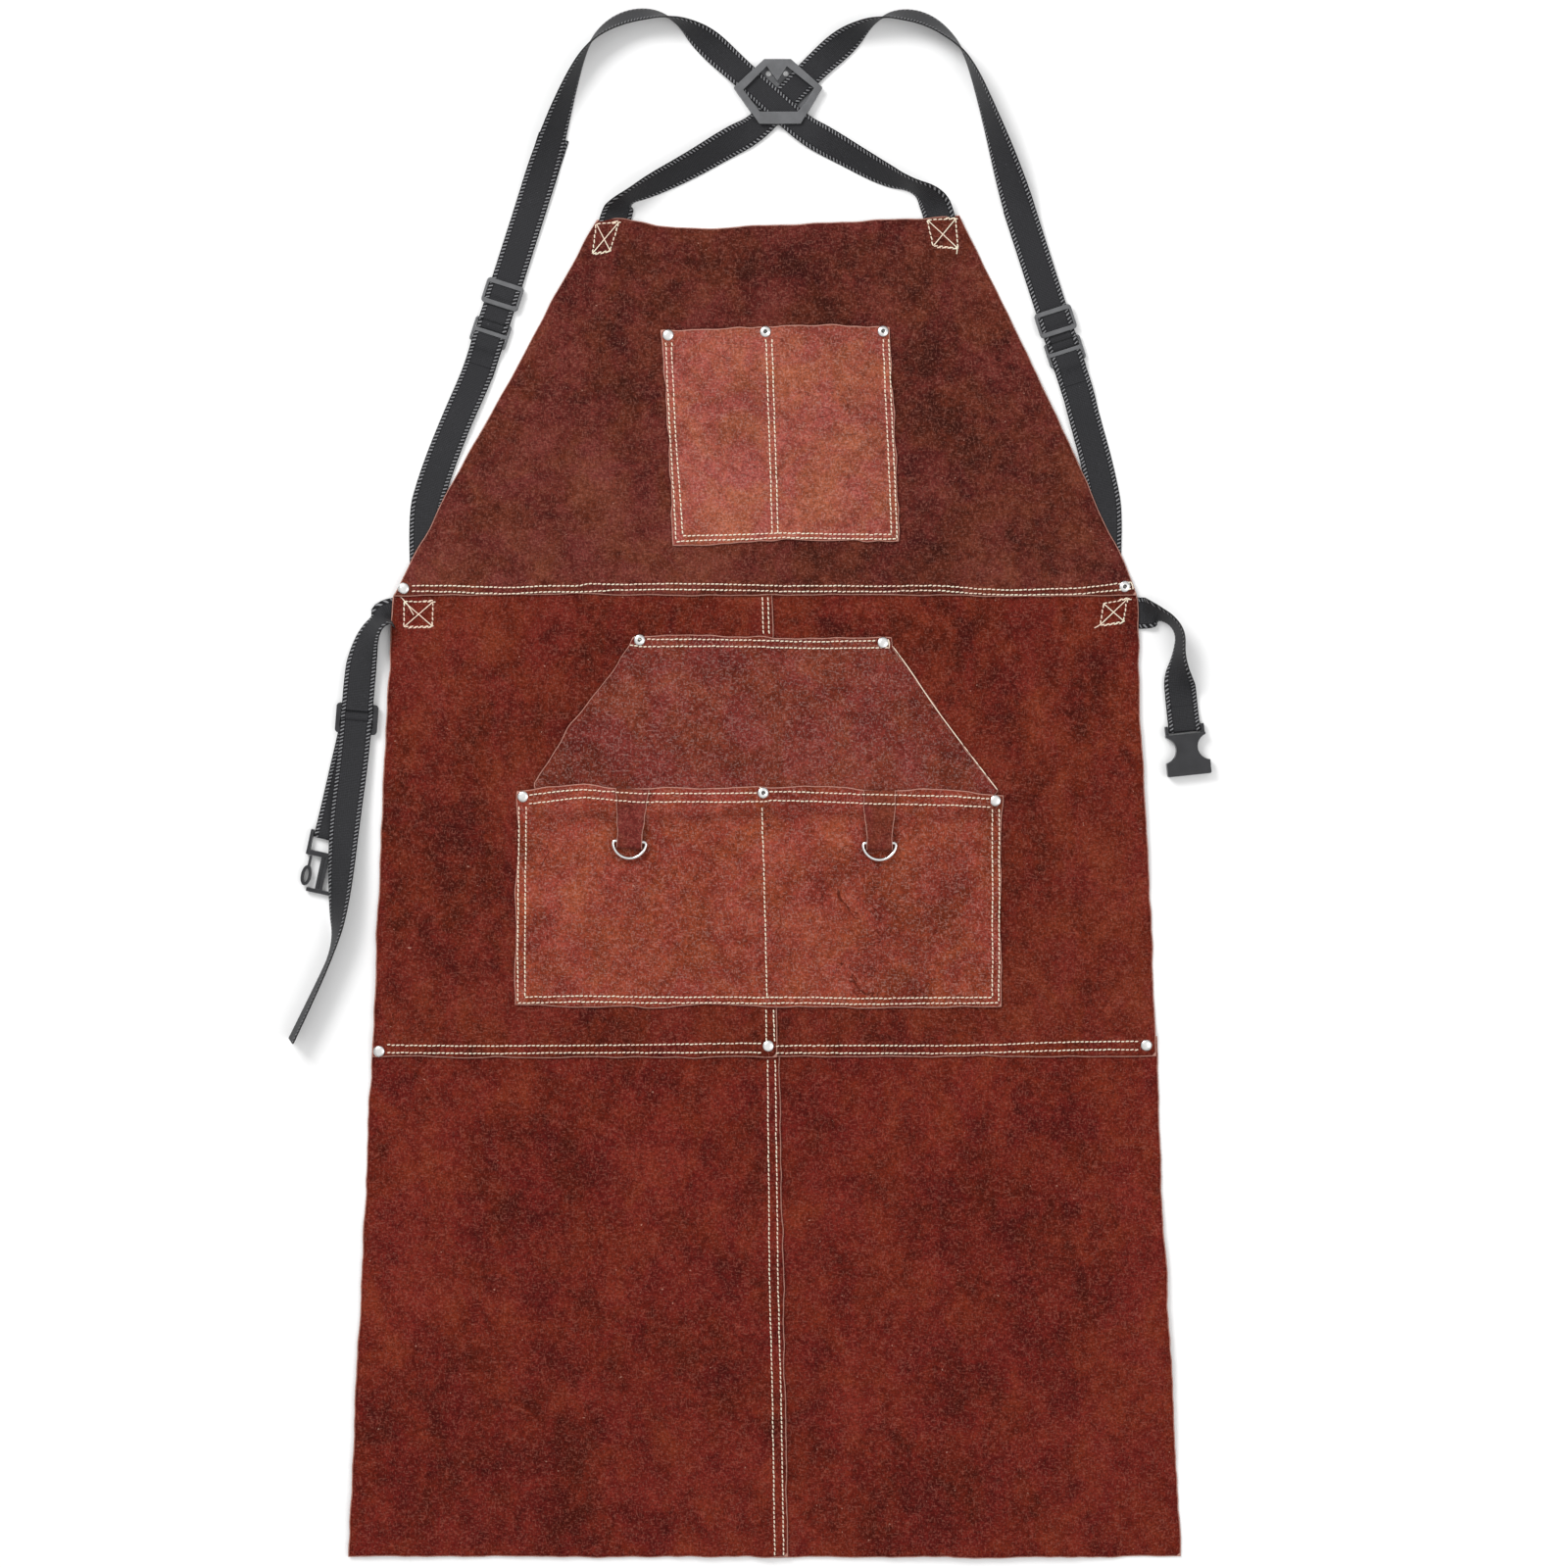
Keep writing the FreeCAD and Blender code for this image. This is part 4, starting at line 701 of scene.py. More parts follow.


# darker (-) and lighter (+) places of the hides, and one painted shadow: x, y, half sizes, strength
PATCHES = [
    (0.007, 0.265, 0.086, 0.027, -1.0), (-0.142, 0.249, 0.031, 0.047, -0.4),
    (-0.173, 0.147, 0.047, 0.063, 0.4), (-0.142, 0.085, 0.047, 0.039, 0.6),
    (-0.063, 0.022, 0.094, 0.020, 0.5), (0.140, 0.179, 0.031, 0.070, -0.7),
    (0.219, 0.069, 0.047, 0.047, 0.2), (0.156, 0.038, 0.063, 0.024, -0.2),
    (-0.103, 0.163, 0.024, 0.063, -0.4), (-0.204, 0.038, 0.047, 0.024, -0.3),
    (-0.259, 0.038, 0.024, 0.031, 0.3), (-0.236, -0.072, 0.047, 0.031, 0.5),
    (-0.142, -0.041, 0.039, 0.024, -0.6), (-0.259, -0.190, 0.039, 0.047, -0.4),
    (-0.236, -0.276, 0.039, 0.047, -0.4), (-0.275, -0.331, 0.047, 0.024, 0.2),
    # the first entry below, the dark strip just under the bib's lower edge, is a painted shadow of the bib
    (0.070, -0.019, 0.063, 0.014, -1.0), (0.140, -0.072, 0.047, 0.031, -0.2),
    (0.250, -0.072, 0.031, 0.047, -0.6), (0.219, -0.190, 0.024, 0.094, -0.3),
    (0.258, -0.229, 0.039, 0.094, 0.6), (0.242, -0.331, 0.063, 0.020, 0.3),
    (-0.173, -0.393, 0.141, 0.020, 0.4), (-0.236, -0.472, 0.047, 0.039, -0.4),
    (-0.283, -0.542, 0.047, 0.063, 0.4), (-0.079, -0.479, 0.047, 0.047, 0.4),
    (-0.103, -0.620, 0.047, 0.070, -0.6), (-0.032, -0.581, 0.024, 0.078, -0.4),
    (-0.204, -0.683, 0.047, 0.047, -0.4), (-0.142, -0.730, 0.063, 0.031, -0.4),
    (0.062, -0.409, 0.031, 0.047, 0.2), (0.140, -0.401, 0.047, 0.039, 0.4),
    (0.187, -0.495, 0.047, 0.047, -0.6), (0.093, -0.620, 0.047, 0.063, 0.8),
    (0.062, -0.675, 0.031, 0.047, 0.7), (0.250, -0.534, 0.039, 0.063, -0.3),
    (0.281, -0.620, 0.031, 0.078, 0.5), (0.156, -0.722, 0.063, 0.031, -0.5),
    (0.289, -0.432, 0.031, 0.047, 0.3), (-0.071, -0.119, 0.063, 0.024, -0.5),
    (-0.110, -0.190, 0.047, 0.024, -0.4), (0.093, -0.190, 0.047, 0.024, -0.3),
    (-0.142, -0.284, 0.094, 0.031, 0.4), (0.062, -0.276, 0.047, 0.031, 0.4),
    (0.156, -0.268, 0.024, 0.047, -0.4), (-0.036, 0.179, 0.031, 0.024, -0.4),
    (-0.032, 0.085, 0.047, 0.031, 0.4), (0.054, 0.092, 0.039, 0.031, 0.4),
    (0.054, 0.179, 0.031, 0.024, -0.9), (0.170, -0.040, 0.110, 0.040, -0.5),
    (-0.228, -0.225, 0.050, 0.050, -0.6), (-0.157, -0.413, 0.035, 0.050, -0.7),
    (-0.189, 0.128, 0.047, 0.030, -0.7), (-0.189, -0.596, 0.090, 0.045, -0.3),
    (0.281, -0.731, 0.047, 0.040, 0.6), (-0.283, -0.456, 0.047, 0.047, 0.5),
    (-0.189, -0.012, 0.047, 0.023, 0.4), (-0.024, 0.085, 0.025, 0.025, 0.3)]
warp_x, warp_y = waves(401, 12, 0.04, 0.20), waves(402, 12, 0.04, 0.20)


def patchy(x, y):
    x, y = x + 0.016 * warp_x(x, y), y + 0.016 * warp_y(x, y)
    total = np.zeros(np.shape(x))
    for px, py, wide, high, strength in PATCHES:
        total += strength * np.exp(-((x - px) / wide) ** 2 - ((y - py) / high) ** 2)
    return total


def leather(name, sides, material, seed, puff=None, step=0.003, ragged=0.0005, replaces=(),
            wrinkle=0.0003, seams=()):
    """A panel of leather laid on what is under it, as a closed mesh, and added to the layers."""
    global top
    bottom, right, peak, left = sides
    plane = patch(bottom, right, peak, left, step)
    rows, columns, _ = plane.shape
    uneven = waves(seed, 14, 0.012, 0.09)
    shift = np.stack([uneven(plane[..., 0], plane[..., 1]), uneven(plane[..., 1] + 0.37, plane[..., 0])], -1)
    plane = plane + shift * ragged
    x, y = plane[..., 0], plane[..., 1]
    ring = np.concatenate([plane[0, :-1], plane[:-1, -1], plane[-1, :0:-1], plane[:0:-1, 0]])
    outline = [tuple(point) for point in ring]
    cover = inside(outline, MESH_X, MESH_Y)
    base = soften(spread_up(np.where(soften(cover.astype(float), 5) > 0, top, 0), 2), 2) + 0.00008
    extra = np.zeros_like(base) if puff is None else puff(MESH_X, MESH_Y)
    small = waves(seed + 1, 18, 0.018, 0.11, 0.9)
    extra = extra + wrinkle * np.clip(0.6 + small(MESH_X, MESH_Y), 0, 2)
    pucker = waves(seed + 2, 14, 0.009, 0.030, 0.6)
    for start, end in seams:
        near = np.exp(-(line_distance(start, end, MESH_X, MESH_Y) / 0.011) ** 2)
        extra = extra + 0.00032 * near * (0.5 + 0.5 * pucker(MESH_X, MESH_Y))
    level = base + extra
    z = sample(level, x, y)
    top = np.where(cover, level + LEATHER, top)

    index = np.arange(rows * columns).reshape(rows, columns)
    edge = np.concatenate([index[0, :-1], index[:-1, -1], index[-1, :0:-1], index[:0:-1, 0]])
    upper = np.stack([x, y, z + LEATHER], -1).reshape(-1, 3)
    lower = np.stack([x, y, z], -1).reshape(-1, 3)
    middle = (upper[edge] + lower[edge]) / 2
    ahead = np.roll(middle, -1, 0) - np.roll(middle, 1, 0)
    out = np.stack([ahead[:, 1], -ahead[:, 0], np.zeros(len(edge))], 1)
    middle = middle + out / np.linalg.norm(out, axis=1)[:, None] * 0.00035
    upper[edge, 2] -= 0.00025
    lower[edge, 2] += 0.0002
    total = rows * columns
    middle_index = np.arange(len(edge)) + 2 * total
    faces = np.concatenate([grid_faces(rows, columns), grid_faces(rows, columns, total, True),
                            ring_faces(edge, middle_index)[:, ::-1],
                            ring_faces(middle_index, edge + total)[:, ::-1]])
    sides_of = [0] * (2 * (rows - 1) * (columns - 1)) + [1] * (2 * len(edge))
    piece = new_object(name, np.concatenate([upper, lower, middle]), faces, [material, EDGE], sides_of)
    u = np.arange(columns)[None, :] * step
    v = np.arange(rows)[:, None] * step
    rim = np.minimum(np.minimum(u, u[:, ::-1]), np.minimum(v, v[::-1])).ravel()
    store(piece, "rim", np.concatenate([rim, rim, np.zeros(len(edge))]), "FLOAT")
    tone = patchy(x, y).ravel()
    store(piece, "tone", np.concatenate([tone, tone, np.zeros(len(edge))]), "FLOAT")
    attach(piece, "apron")
    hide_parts(*replaces)
    ring = np.array(outline)
    return piece


# ------------------------------------------------------------------ leather panels
HEM, SEAM_Y, LOWER_TOP, WAIST_TOP = -0.767, -0.368, -0.352, 0.013
waist_seam = ((-0.290, 0.005), (0.290, 0.005))
lower_seam = ((-0.305, -0.362), (0.302, -0.361))
centre_seam = ((0.001, -0.001), (0.004, -0.353))
lower_centre = ((0.005, -0.368), (0.011, -0.767))

leather("lower_skirt_right_leather", (
    [(-0.001, HEM), (0.165, HEM - 0.0006), (0.3315, HEM + 0.0005)],
    [(0.3315, HEM + 0.0005), (0.3252, -0.640), (0.3170, -0.490), (0.3125, LOWER_TOP)],
    [(-0.007, LOWER_TOP), (0.3125, LOWER_TOP)],
    [(-0.001, HEM), (-0.007, LOWER_TOP)]), LOWER, 21,
    replaces=["lower_skirt_right"], seams=[lower_centre])
leather("lower_skirt_left_leather", (
    [(-0.333, HEM), (-0.150, HEM - 0.0004), (0.018, HEM)],
    [(0.018, HEM), (0.0145, -0.560), (0.011, LOWER_TOP)],
    [(-0.3135, LOWER_TOP), (0.011, LOWER_TOP)],
    [(-0.333, HEM), (-0.3265, -0.630), (-0.3195, -0.480), (-0.3135, LOWER_TOP)]), LOWER, 31,
    replaces=["lower_skirt_left"], seams=[lower_centre])
leather("upper_skirt_right_leather", (
    [(-0.007, SEAM_Y), (0.160, SEAM_Y + 0.0006), (0.312, SEAM_Y)],
    [(0.312, SEAM_Y), (0.3065, -0.230), (0.2985, -0.080), (0.2968, -0.001), (0.2885, WAIST_TOP)],
    [(-0.009, WAIST_TOP), (0.2885, WAIST_TOP)],
    [(-0.007, SEAM_Y), (-0.009, WAIST_TOP)]), SKIRT, 41,
    replaces=["upper_skirt_right"], seams=[lower_seam, centre_seam])
leather("upper_skirt_left_leather", (
    [(-0.3135, SEAM_Y), (-0.160, SEAM_Y - 0.0006), (0.010, SEAM_Y)],
    [(0.010, SEAM_Y), (0.0072, -0.180), (0.0055, WAIST_TOP)],
    [(-0.2885, WAIST_TOP), (0.0055, WAIST_TOP)],
    [(-0.3135, SEAM_Y), (-0.3085, -0.230), (-0.3015, -0.080), (-0.2968, -0.001),
     (-0.2885, WAIST_TOP)]), SKIRT, 51,
    replaces=["upper_skirt_left"], seams=[lower_seam, centre_seam])


def curl(x, y):
    """The bib's left top corner stands up a little, and the top edge waves."""
    corner = np.exp(-(np.hypot(x + 0.128, y - 0.298) / 0.030) ** 2)
    return 0.0012 * corner + 0.0010 * smooth_step(y, 0.22, 0.30) * (0.5 + 0.5 * np.sin(x * 34))


leather("bib_panel_leather", (
    [(-0.2965, 0.0), (-0.160, 0.0012), (-0.060, -0.0006), (0.080, 0.0010), (0.190, -0.0004), (0.296, 0.0004)],
    [(0.296, 0.0004), (0.2880, 0.0210), (0.2585, 0.0850), (0.2160, 0.1790), (0.155, 0.303)],
    [(-0.1347, 0.2990), (-0.126, 0.3003), (-0.112, 0.3006), (-0.098, 0.2985), (-0.086, 0.2952),
     (-0.072, 0.2935), (-0.040, 0.2933), (0.030, 0.2968), (0.155, 0.303)],
    [(-0.2965, 0.0), (-0.2890, 0.0150), (-0.2550, 0.0810), (-0.2130, 0.1560), (-0.1720, 0.2310),
     (-0.1347, 0.2990)]), BIB, 61, puff=curl,
    replaces=["bib_panel"], seams=[waist_seam])

CHEST_CORNERS = ((-0.0736, 0.0400), (0.1065, 0.0430), (0.0995, 0.2145), (-0.0823, 0.2120))


def chest_puff(x, y):
    """Each part of the chest pocket stands open a little at its top, between its seams."""
    total = np.zeros_like(x)
    share = np.clip((y - 0.050) / 0.168, 0, 1)
    for left, right in ((-0.0640, 0.0040), (0.0120, 0.0985)):
        across = np.clip((x - left + 0.0075 * share) / (right - left), 0, 1)
        total = total + 0.0034 * np.sin(math.pi * across) ** 0.8 * smooth_step(y, 0.046, 0.150)
    return total


leather("chest_pocket_leather", (
    [CHEST_CORNERS[0], (-0.030, 0.0412), (0.015, 0.0440), (0.060, 0.0436), CHEST_CORNERS[1]],
    [CHEST_CORNERS[1], (0.1030, 0.130), CHEST_CORNERS[2]],
    [CHEST_CORNERS[3], (-0.055, 0.2112), (0.000, 0.2146), (0.050, 0.2152), CHEST_CORNERS[2]],
    [CHEST_CORNERS[0], (-0.0772, 0.120), CHEST_CORNERS[3]]), CHEST, 71, puff=chest_puff, step=0.0025,
    ragged=0.0006, replaces=["chest_pocket"],
    seams=[((-0.077, 0.200), (-0.068, 0.046)), ((0.003, 0.205), (0.008, 0.046)),
           ((0.096, 0.205), (0.103, 0.046)), ((-0.068, 0.045), (0.103, 0.047))])


def yoke_puff(x, y):
    """The yoke is sewn down along its top and stands off the skirt below that."""
    rise = smooth_step(-y, 0.040, 0.105)
    slant = np.minimum(line_distance((-0.106, -0.033), (-0.186, -0.150), x, y),
                       line_distance((0.100, -0.0335), (0.1855, -0.1555), x, y))
    return 0.0044 * rise * (0.35 + 0.65 * smooth_step(slant, 0.0, 0.035))


leather("tool_pocket_yoke_leather", (
    [(-0.180, -0.170), (0.172, -0.170)],
    [(0.172, -0.170), (0.1855, -0.1555), (0.1605, -0.1235), (0.1335, -0.0875), (0.1134, -0.0563),
     (0.1020, -0.0415), (0.100, -0.0335)],
    [(-0.106, -0.0335), (-0.060, -0.0318), (0.020, -0.0340), (0.100, -0.0335)],
    [(-0.180, -0.170), (-0.1860, -0.1500), (-0.1680, -0.1240), (-0.1560, -0.1050), (-0.1255, -0.0640),
     (-0.1095, -0.0400), (-0.106, -0.0335)]), YOKE, 81, puff=yoke_puff, step=0.0025, ragged=0.0006,
    replaces=["tool_pocket_yoke"],
    seams=[((-0.100, -0.036), (0.095, -0.038))])


def front_puff(x, y):
    """Both halves of the tool pocket stand open between their seams, most of all at the top."""
    left = np.clip((x + 0.190) / 0.186, 0, 1)
    right = np.clip((x - 0.003) / 0.177, 0, 1)
    across = np.sin(math.pi * left) ** 0.7 + np.sin(math.pi * right) ** 0.7
    rise = smooth_step(y, -0.322, -0.230)
    gone = 1 - smooth_step(y, -0.176, -0.162)
    return 0.0046 * across * rise * gone


leather("tool_pocket_front_leather", (
    [(-0.200, -0.3268), (-0.140, -0.3285), (-0.030, -0.3270), (0.070, -0.3290), (0.188, -0.3280)],
    [(0.188, -0.3280), (0.1872, -0.240), (0.1885, -0.1600)],
    [(-0.1970, -0.1555), (-0.175, -0.1530), (-0.145, -0.1512), (-0.100, -0.1545), (-0.040, -0.1530),
     (0.020, -0.1522), (0.090, -0.1550), (0.150, -0.1552), (0.1885, -0.1600)],
    [(-0.200, -0.3268), (-0.1985, -0.240), (-0.1970, -0.1555)]), FRONT, 91, puff=front_puff, step=0.0025,
    ragged=0.0008, replaces=["tool_pocket_front"],
    seams=[((-0.193, -0.160), (0.184, -0.163)), ((-0.193, -0.165), (-0.1950, -0.322)),
           ((0.184, -0.165), (0.184, -0.322)), ((-0.195, -0.3235), (0.184, -0.3235)),
           ((-0.0025, -0.165), (0.0015, -0.322))])

# ------------------------------------------------------------------ D-ring tabs
TAB_LENGTH, TAB_BAR, TAB_SLOT, RING_Z, HOLE_R = 0.048, 0.0419, 0.003, 0.0122, 0.0016
TAB_TOP_HALF, TAB_LOOP_HALF = 0.0130, 0.0099


def ring_tab(label, spot, heading):
    """A strip of leather folded round the ring's bar, with both ends sewn under the seam."""
    angle = math.radians(heading)
    ahead = np.array([math.cos(angle), math.sin(angle)])
    side = np.array([-ahead[1], ahead[0]])
    start = float(sample_high(top, *(np.array(spot) + ahead * 0.004)))
    loop = HOLE_R + LEATHER / 2
    profile = [(0.0, start + 1.6 * LEATHER), (0.012, start + 1.6 * LEATHER), (0.024, start + 0.0034)]
    profile += [(0.034, RING_Z + 0.7 * loop), (TAB_BAR - 0.002, RING_Z + loop)]
    for degrees in range(80, -91, -24):
        turn = math.radians(degrees)
        profile.append((TAB_BAR + TAB_SLOT + loop * math.cos(turn), RING_Z + loop * math.sin(turn)))
    profile += [(TAB_BAR - 0.003, RING_Z - loop * 1.02), (0.030, start + 0.0012),
                (0.012, start + 0.6 * LEATHER), (0.0, start + 0.6 * LEATHER)]
    line = spline_points([(distance, 0, height) for distance, height in profile])
    columns, run = respaced(line, 0.0008)
    count, wide = len(columns), 15
    heading3 = np.gradient(columns[:, [0, 2]], axis=0)
    heading3 /= np.linalg.norm(heading3, axis=1)[:, None]
    normal = np.stack([-heading3[:, 1], heading3[:, 0]], 1)
    share = np.clip(columns[:, 0] / TAB_LENGTH, 0, 1)
    half = TAB_TOP_HALF + (TAB_LOOP_HALF - TAB_TOP_HALF) * smooth_step(share, 0.0, 0.9)
    steps = np.linspace(-1, 1, wide)
    wobble = waves(101 if label == "left" else 102, 8, 0.008, 0.03)
    verts = []
    for sign in (1, -1):
        thick = np.where(np.abs(steps) > 0.99, 0.35, 1.0) * LEATHER / 2 * sign
        u = columns[:, 0][:, None] + normal[:, 0][:, None] * thick[None, :]
        z = columns[:, 2][:, None] + normal[:, 1][:, None] * thick[None, :]
        wave = wobble(columns[:, 0], np.zeros(count)) * 0.0004
        v = steps[None, :] * (half + wave)[:, None]
        place = np.array(spot) + u[..., None] * ahead + v[..., None] * side
        verts.append(np.concatenate([place, z[..., None]], -1).reshape(-1, 3))
    index = np.arange(count * wide).reshape(count, wide)
    under = index + count * wide
    faces = [grid_faces(count, wide, 0, True), grid_faces(count, wide, count * wide)]
    marks = [0] * (len(faces[0]) + len(faces[1]))
    for first, second in ((index[:, 0], under[:, 0]), (under[:, -1], index[:, -1]),
                          (under[0], index[0]), (index[-1], under[-1])):
        faces.append(np.stack([first[:-1], first[1:], second[1:], second[:-1]], -1))
    faces = np.concatenate(faces)
    marks += [1] * (len(faces) - len(marks))
    piece = new_object(f"d_ring_tab_{label}_leather", np.concatenate(verts), faces, [TAB, EDGE], marks)
    rim = np.minimum((1 - np.abs(steps))[None, :] * half[:, None], run[:, None] + 0.002).ravel()
    store(piece, "rim", np.concatenate([rim, rim]), "FLOAT")
    tone = np.repeat(0.6 + 0.9 * (1 - smooth_step(columns[:, 0], 0.008, 0.016)), wide)
    store(piece, "tone", np.concatenate([tone, tone]), "FLOAT")
    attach(piece, "apron")
    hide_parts(f"d_ring_tab_{label}")


TAB_SPOTS = {"left": ((-0.1058, -0.1543), -93.0), "right": ((0.0909, -0.1555), -90.0)}
for label, (spot, heading) in TAB_SPOTS.items():
    ring_tab(label, spot, heading)
    end = along(spot, heading, 0.020)
    over = inside(strip(spot, end, 2 * TAB_TOP_HALF - 0.0006), MESH_X, MESH_Y)
    top = np.where(over, top + 2.1 * LEATHER, top)


# ------------------------------------------------------------------ stitches
STITCH_SIDES = 6
# along a stitch: share of its length from its middle, half thickness and height in mm
STITCH_RINGS = ((-0.50, 0.25, -0.35), (-0.43, 0.46, 0.08), (-0.2, 0.55, 0.24), (0.0, 0.56, 0.30),
                (0.2, 0.55, 0.24), (0.43, 0.46, 0.08), (0.50, 0.25, -0.35))


def tube_faces(start, levels, sides):
    """Faces of a closed tube whose points are numbered ring by ring from start."""
    first = np.arange(sides) + start
    faces = []
    for level in range(levels - 1):
        faces += ring_faces(first + level * sides, first + (level + 1) * sides).tolist()
    last = first + (levels - 1) * sides
    return faces + [first[::-1].tolist(), last.tolist()]


def stitches(name, rows, replaces, seed, wander=0.0007, slant=0.12, loose=()):
    """Rows of single stitches: each is a short thread that rises out of the leather and dives in."""
    random = np.random.default_rng(seed)
    sides, rings = STITCH_SIDES, STITCH_RINGS
    verts, faces = [], []
    sway = waves(seed + 7, 8, 0.05, 0.30)
    for row in rows:
        row_length = sum(math.dist(a, b) for a, b in zip(row, row[1:]))
        points = polyline(row, max(2, int(row_length / STITCH_PITCH) + 1))
        for first, second in zip(points, points[1:]):
            centre = (first + second) / 2
            way = second - first
            pitch = np.linalg.norm(way)
            angle = math.atan2(way[1], way[0]) + slant + random.normal(0, 0.06)
            ahead = np.array([math.cos(angle), math.sin(angle)])
            side = np.array([-ahead[1], ahead[0]])
            drift = float(sway(centre[0], centre[1])) * wander + random.normal(0, 0.00012)
            centre = centre + side * drift
            length = pitch * (STITCH_LENGTH / STITCH_PITCH) * random.uniform(0.93, 1.05)
            spots = np.array([centre + ahead * share * length for share, _, _ in rings])
            ground = sample_high(top, spots[:, 0], spots[:, 1])
            ground = np.maximum(ground, ground.mean() - 0.0003)
            start = len(verts)
            for (share, thick, rise), spot, floor in zip(rings, spots, ground):
                for step in range(sides):
                    turn = 2 * math.pi * step / sides
                    out = side * math.cos(turn) * thick * MM
                    verts.append((spot[0] + out[0], spot[1] + out[1],
                                  floor + rise * MM + math.sin(turn) * thick * MM))
            faces += tube_faces(start, len(rings), sides)
    for points, height in loose:
        line, _ = respaced(spline_points([(x, y, 0.0) for x, y in points]), 0.001)
        line[:, 2] = sample_high(top, line[:, 0], line[:, 1]) + height
        start = len(verts)
        for spot, way in zip(line, np.gradient(line, axis=0)):
            way = way / np.linalg.norm(way)
            side = np.cross((0, 0, 1.0), way)
            rise = np.cross(way, side)
            for step in range(sides):
                turn = 2 * math.pi * step / sides
                verts.append(tuple(spot + (side * math.cos(turn) + rise * math.sin(turn)) * LOOSE_THREAD_R))
        faces += tube_faces(start, len(line), sides)
    piece = new_object(name, verts, faces, [THREAD])
    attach(piece, "apron")
    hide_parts(*replaces)


stitches("chest_pocket_stitches", [
    [(-0.0795, 0.2020), (-0.0755, 0.120), (-0.0712, 0.0440)],
    [(-0.0750, 0.2020), (-0.0710, 0.120), (-0.0660, 0.0485)],
    [(0.0002, 0.2050), (0.0055, 0.0490)], [(0.0048, 0.2050), (0.0101, 0.0490)],
    [(0.0940, 0.2050), (0.1008, 0.0490)], [(0.0985, 0.2050), (0.1052, 0.0450)],
    [(-0.0660, 0.0470), (-0.030, 0.0478), (0.015, 0.0498), (0.060, 0.0490), (0.1008, 0.0490)],
    [(-0.0712, 0.0428), (-0.030, 0.0440), (0.015, 0.0462), (0.060, 0.0455), (0.1045, 0.0450)]],
    ["chest_pocket_stitching"], 201, 0.0004)
stitches("waist_seam_stitches", [
    [(-0.2820, 0.0075), (-0.200, 0.0062), (-0.150, 0.0072), (-0.140, 0.0098), (-0.060, 0.0082),
     (0.040, 0.0072), (0.140, 0.0068), (0.200, 0.0050), (0.2500, 0.0056), (0.2920, 0.0102)],
    [(-0.2820, 0.0030), (-0.200, 0.0012), (-0.150, 0.0026), (-0.120, 0.0048), (-0.060, 0.0036),
     (0.040, 0.0026), (0.140, 0.0030), (0.200, 0.0008), (0.2500, 0.0010), (0.2700, 0.0028),
     (0.2920, 0.0050)]],
    ["waist_seam_stitching"], 211, loose=[([(0.2915, 0.0104), (0.2932, 0.0080), (0.2930, 0.0048)], 0.0004)])
stitches("centre_seam_stitches", [
    [(-0.0019, -0.0010), (-0.0014, -0.0310)], [(0.0028, -0.0010), (0.0032, -0.0310)],
    [(0.0006, -0.3300), (0.0008, -0.3560)], [(0.0066, -0.3300), (0.0071, -0.3560)],
    [(0.0016, -0.3700), (0.0032, -0.534), (0.0076, -0.7660)],
    [(0.0078, -0.3700), (0.0100, -0.534), (0.0146, -0.7660)]], ["centre_seam_stitching"], 221, 0.0003)
stitches("lower_seam_stitches", [
    [(-0.3020, -0.3588), (-0.150, -0.3592), (-0.0030, -0.3568)],
    [(-0.3020, -0.3648), (-0.150, -0.3650), (-0.0030, -0.3642)],
    [(0.0080, -0.3590), (0.150, -0.3585), (0.2980, -0.3560)],
    [(0.0080, -0.3646), (0.150, -0.3648), (0.2980, -0.3628)]],
    ["lower_seam_stitching"], 231, 0.0005)
stitches("tool_pocket_stitches", [
    [(-0.0948, -0.0352), (-0.040, -0.0345), (0.030, -0.0362), (0.0884, -0.0364)],
    [(-0.1085, -0.0395), (-0.1010, -0.0410), (-0.040, -0.0398), (0.030, -0.0416), (0.0985, -0.0424)],
    [(-0.1886, -0.1590), (-0.160, -0.1556), (-0.143, -0.1548), (-0.100, -0.1582), (-0.0062, -0.1580)],
    [(0.0030, -0.1570), (0.090, -0.1590), (0.150, -0.1592), (0.1788, -0.1618)],
    [(-0.1890, -0.1660), (-0.160, -0.1626), (-0.143, -0.1610), (-0.100, -0.1650), (-0.0020, -0.1648),
     (0.0046, -0.1640), (0.090, -0.1662), (0.150, -0.1664), (0.1796, -0.1684)],
    [(-0.1960, -0.1680), (-0.1966, -0.240), (-0.1976, -0.3240)],
    [(-0.1903, -0.1680), (-0.1910, -0.240), (-0.1918, -0.3200)],
    [(0.1813, -0.1700), (0.1808, -0.3200)], [(0.1866, -0.1700), (0.1860, -0.3240)],
    [(-0.1918, -0.3206), (-0.030, -0.3200), (0.070, -0.3216), (0.1808, -0.3206)],
    [(-0.1976, -0.3252), (-0.030, -0.3246), (0.070, -0.3262), (0.1860, -0.3250)],
    [(-0.0029, -0.1690), (-0.0005, -0.240), (0.0015, -0.3200)]],
    ["tool_pocket_stitching"], 241, 0.0005, loose=[
        ([(0.1015, -0.0405), (0.1134, -0.0560), (0.1335, -0.0872), (0.1605, -0.1232),
          (0.1850, -0.1550)], 0.0001),
        ([(-0.1045, -0.0330), (-0.1030, -0.0340), (-0.0995, -0.0352)], 0.0004),
        ([(0.0985, -0.0424), (0.0995, -0.0390), (0.0980, -0.0350)], 0.0004),
        ([(-0.0045, -0.1530), (-0.0030, -0.1540), (-0.0010, -0.1560)], 0.0008)])


def beyond(start, end, extra):
    """The line from start to end, run on past its end."""
    way = np.array(end) - np.array(start)
    return [tuple(start), tuple(np.array(end) + way / np.linalg.norm(way) * extra)]


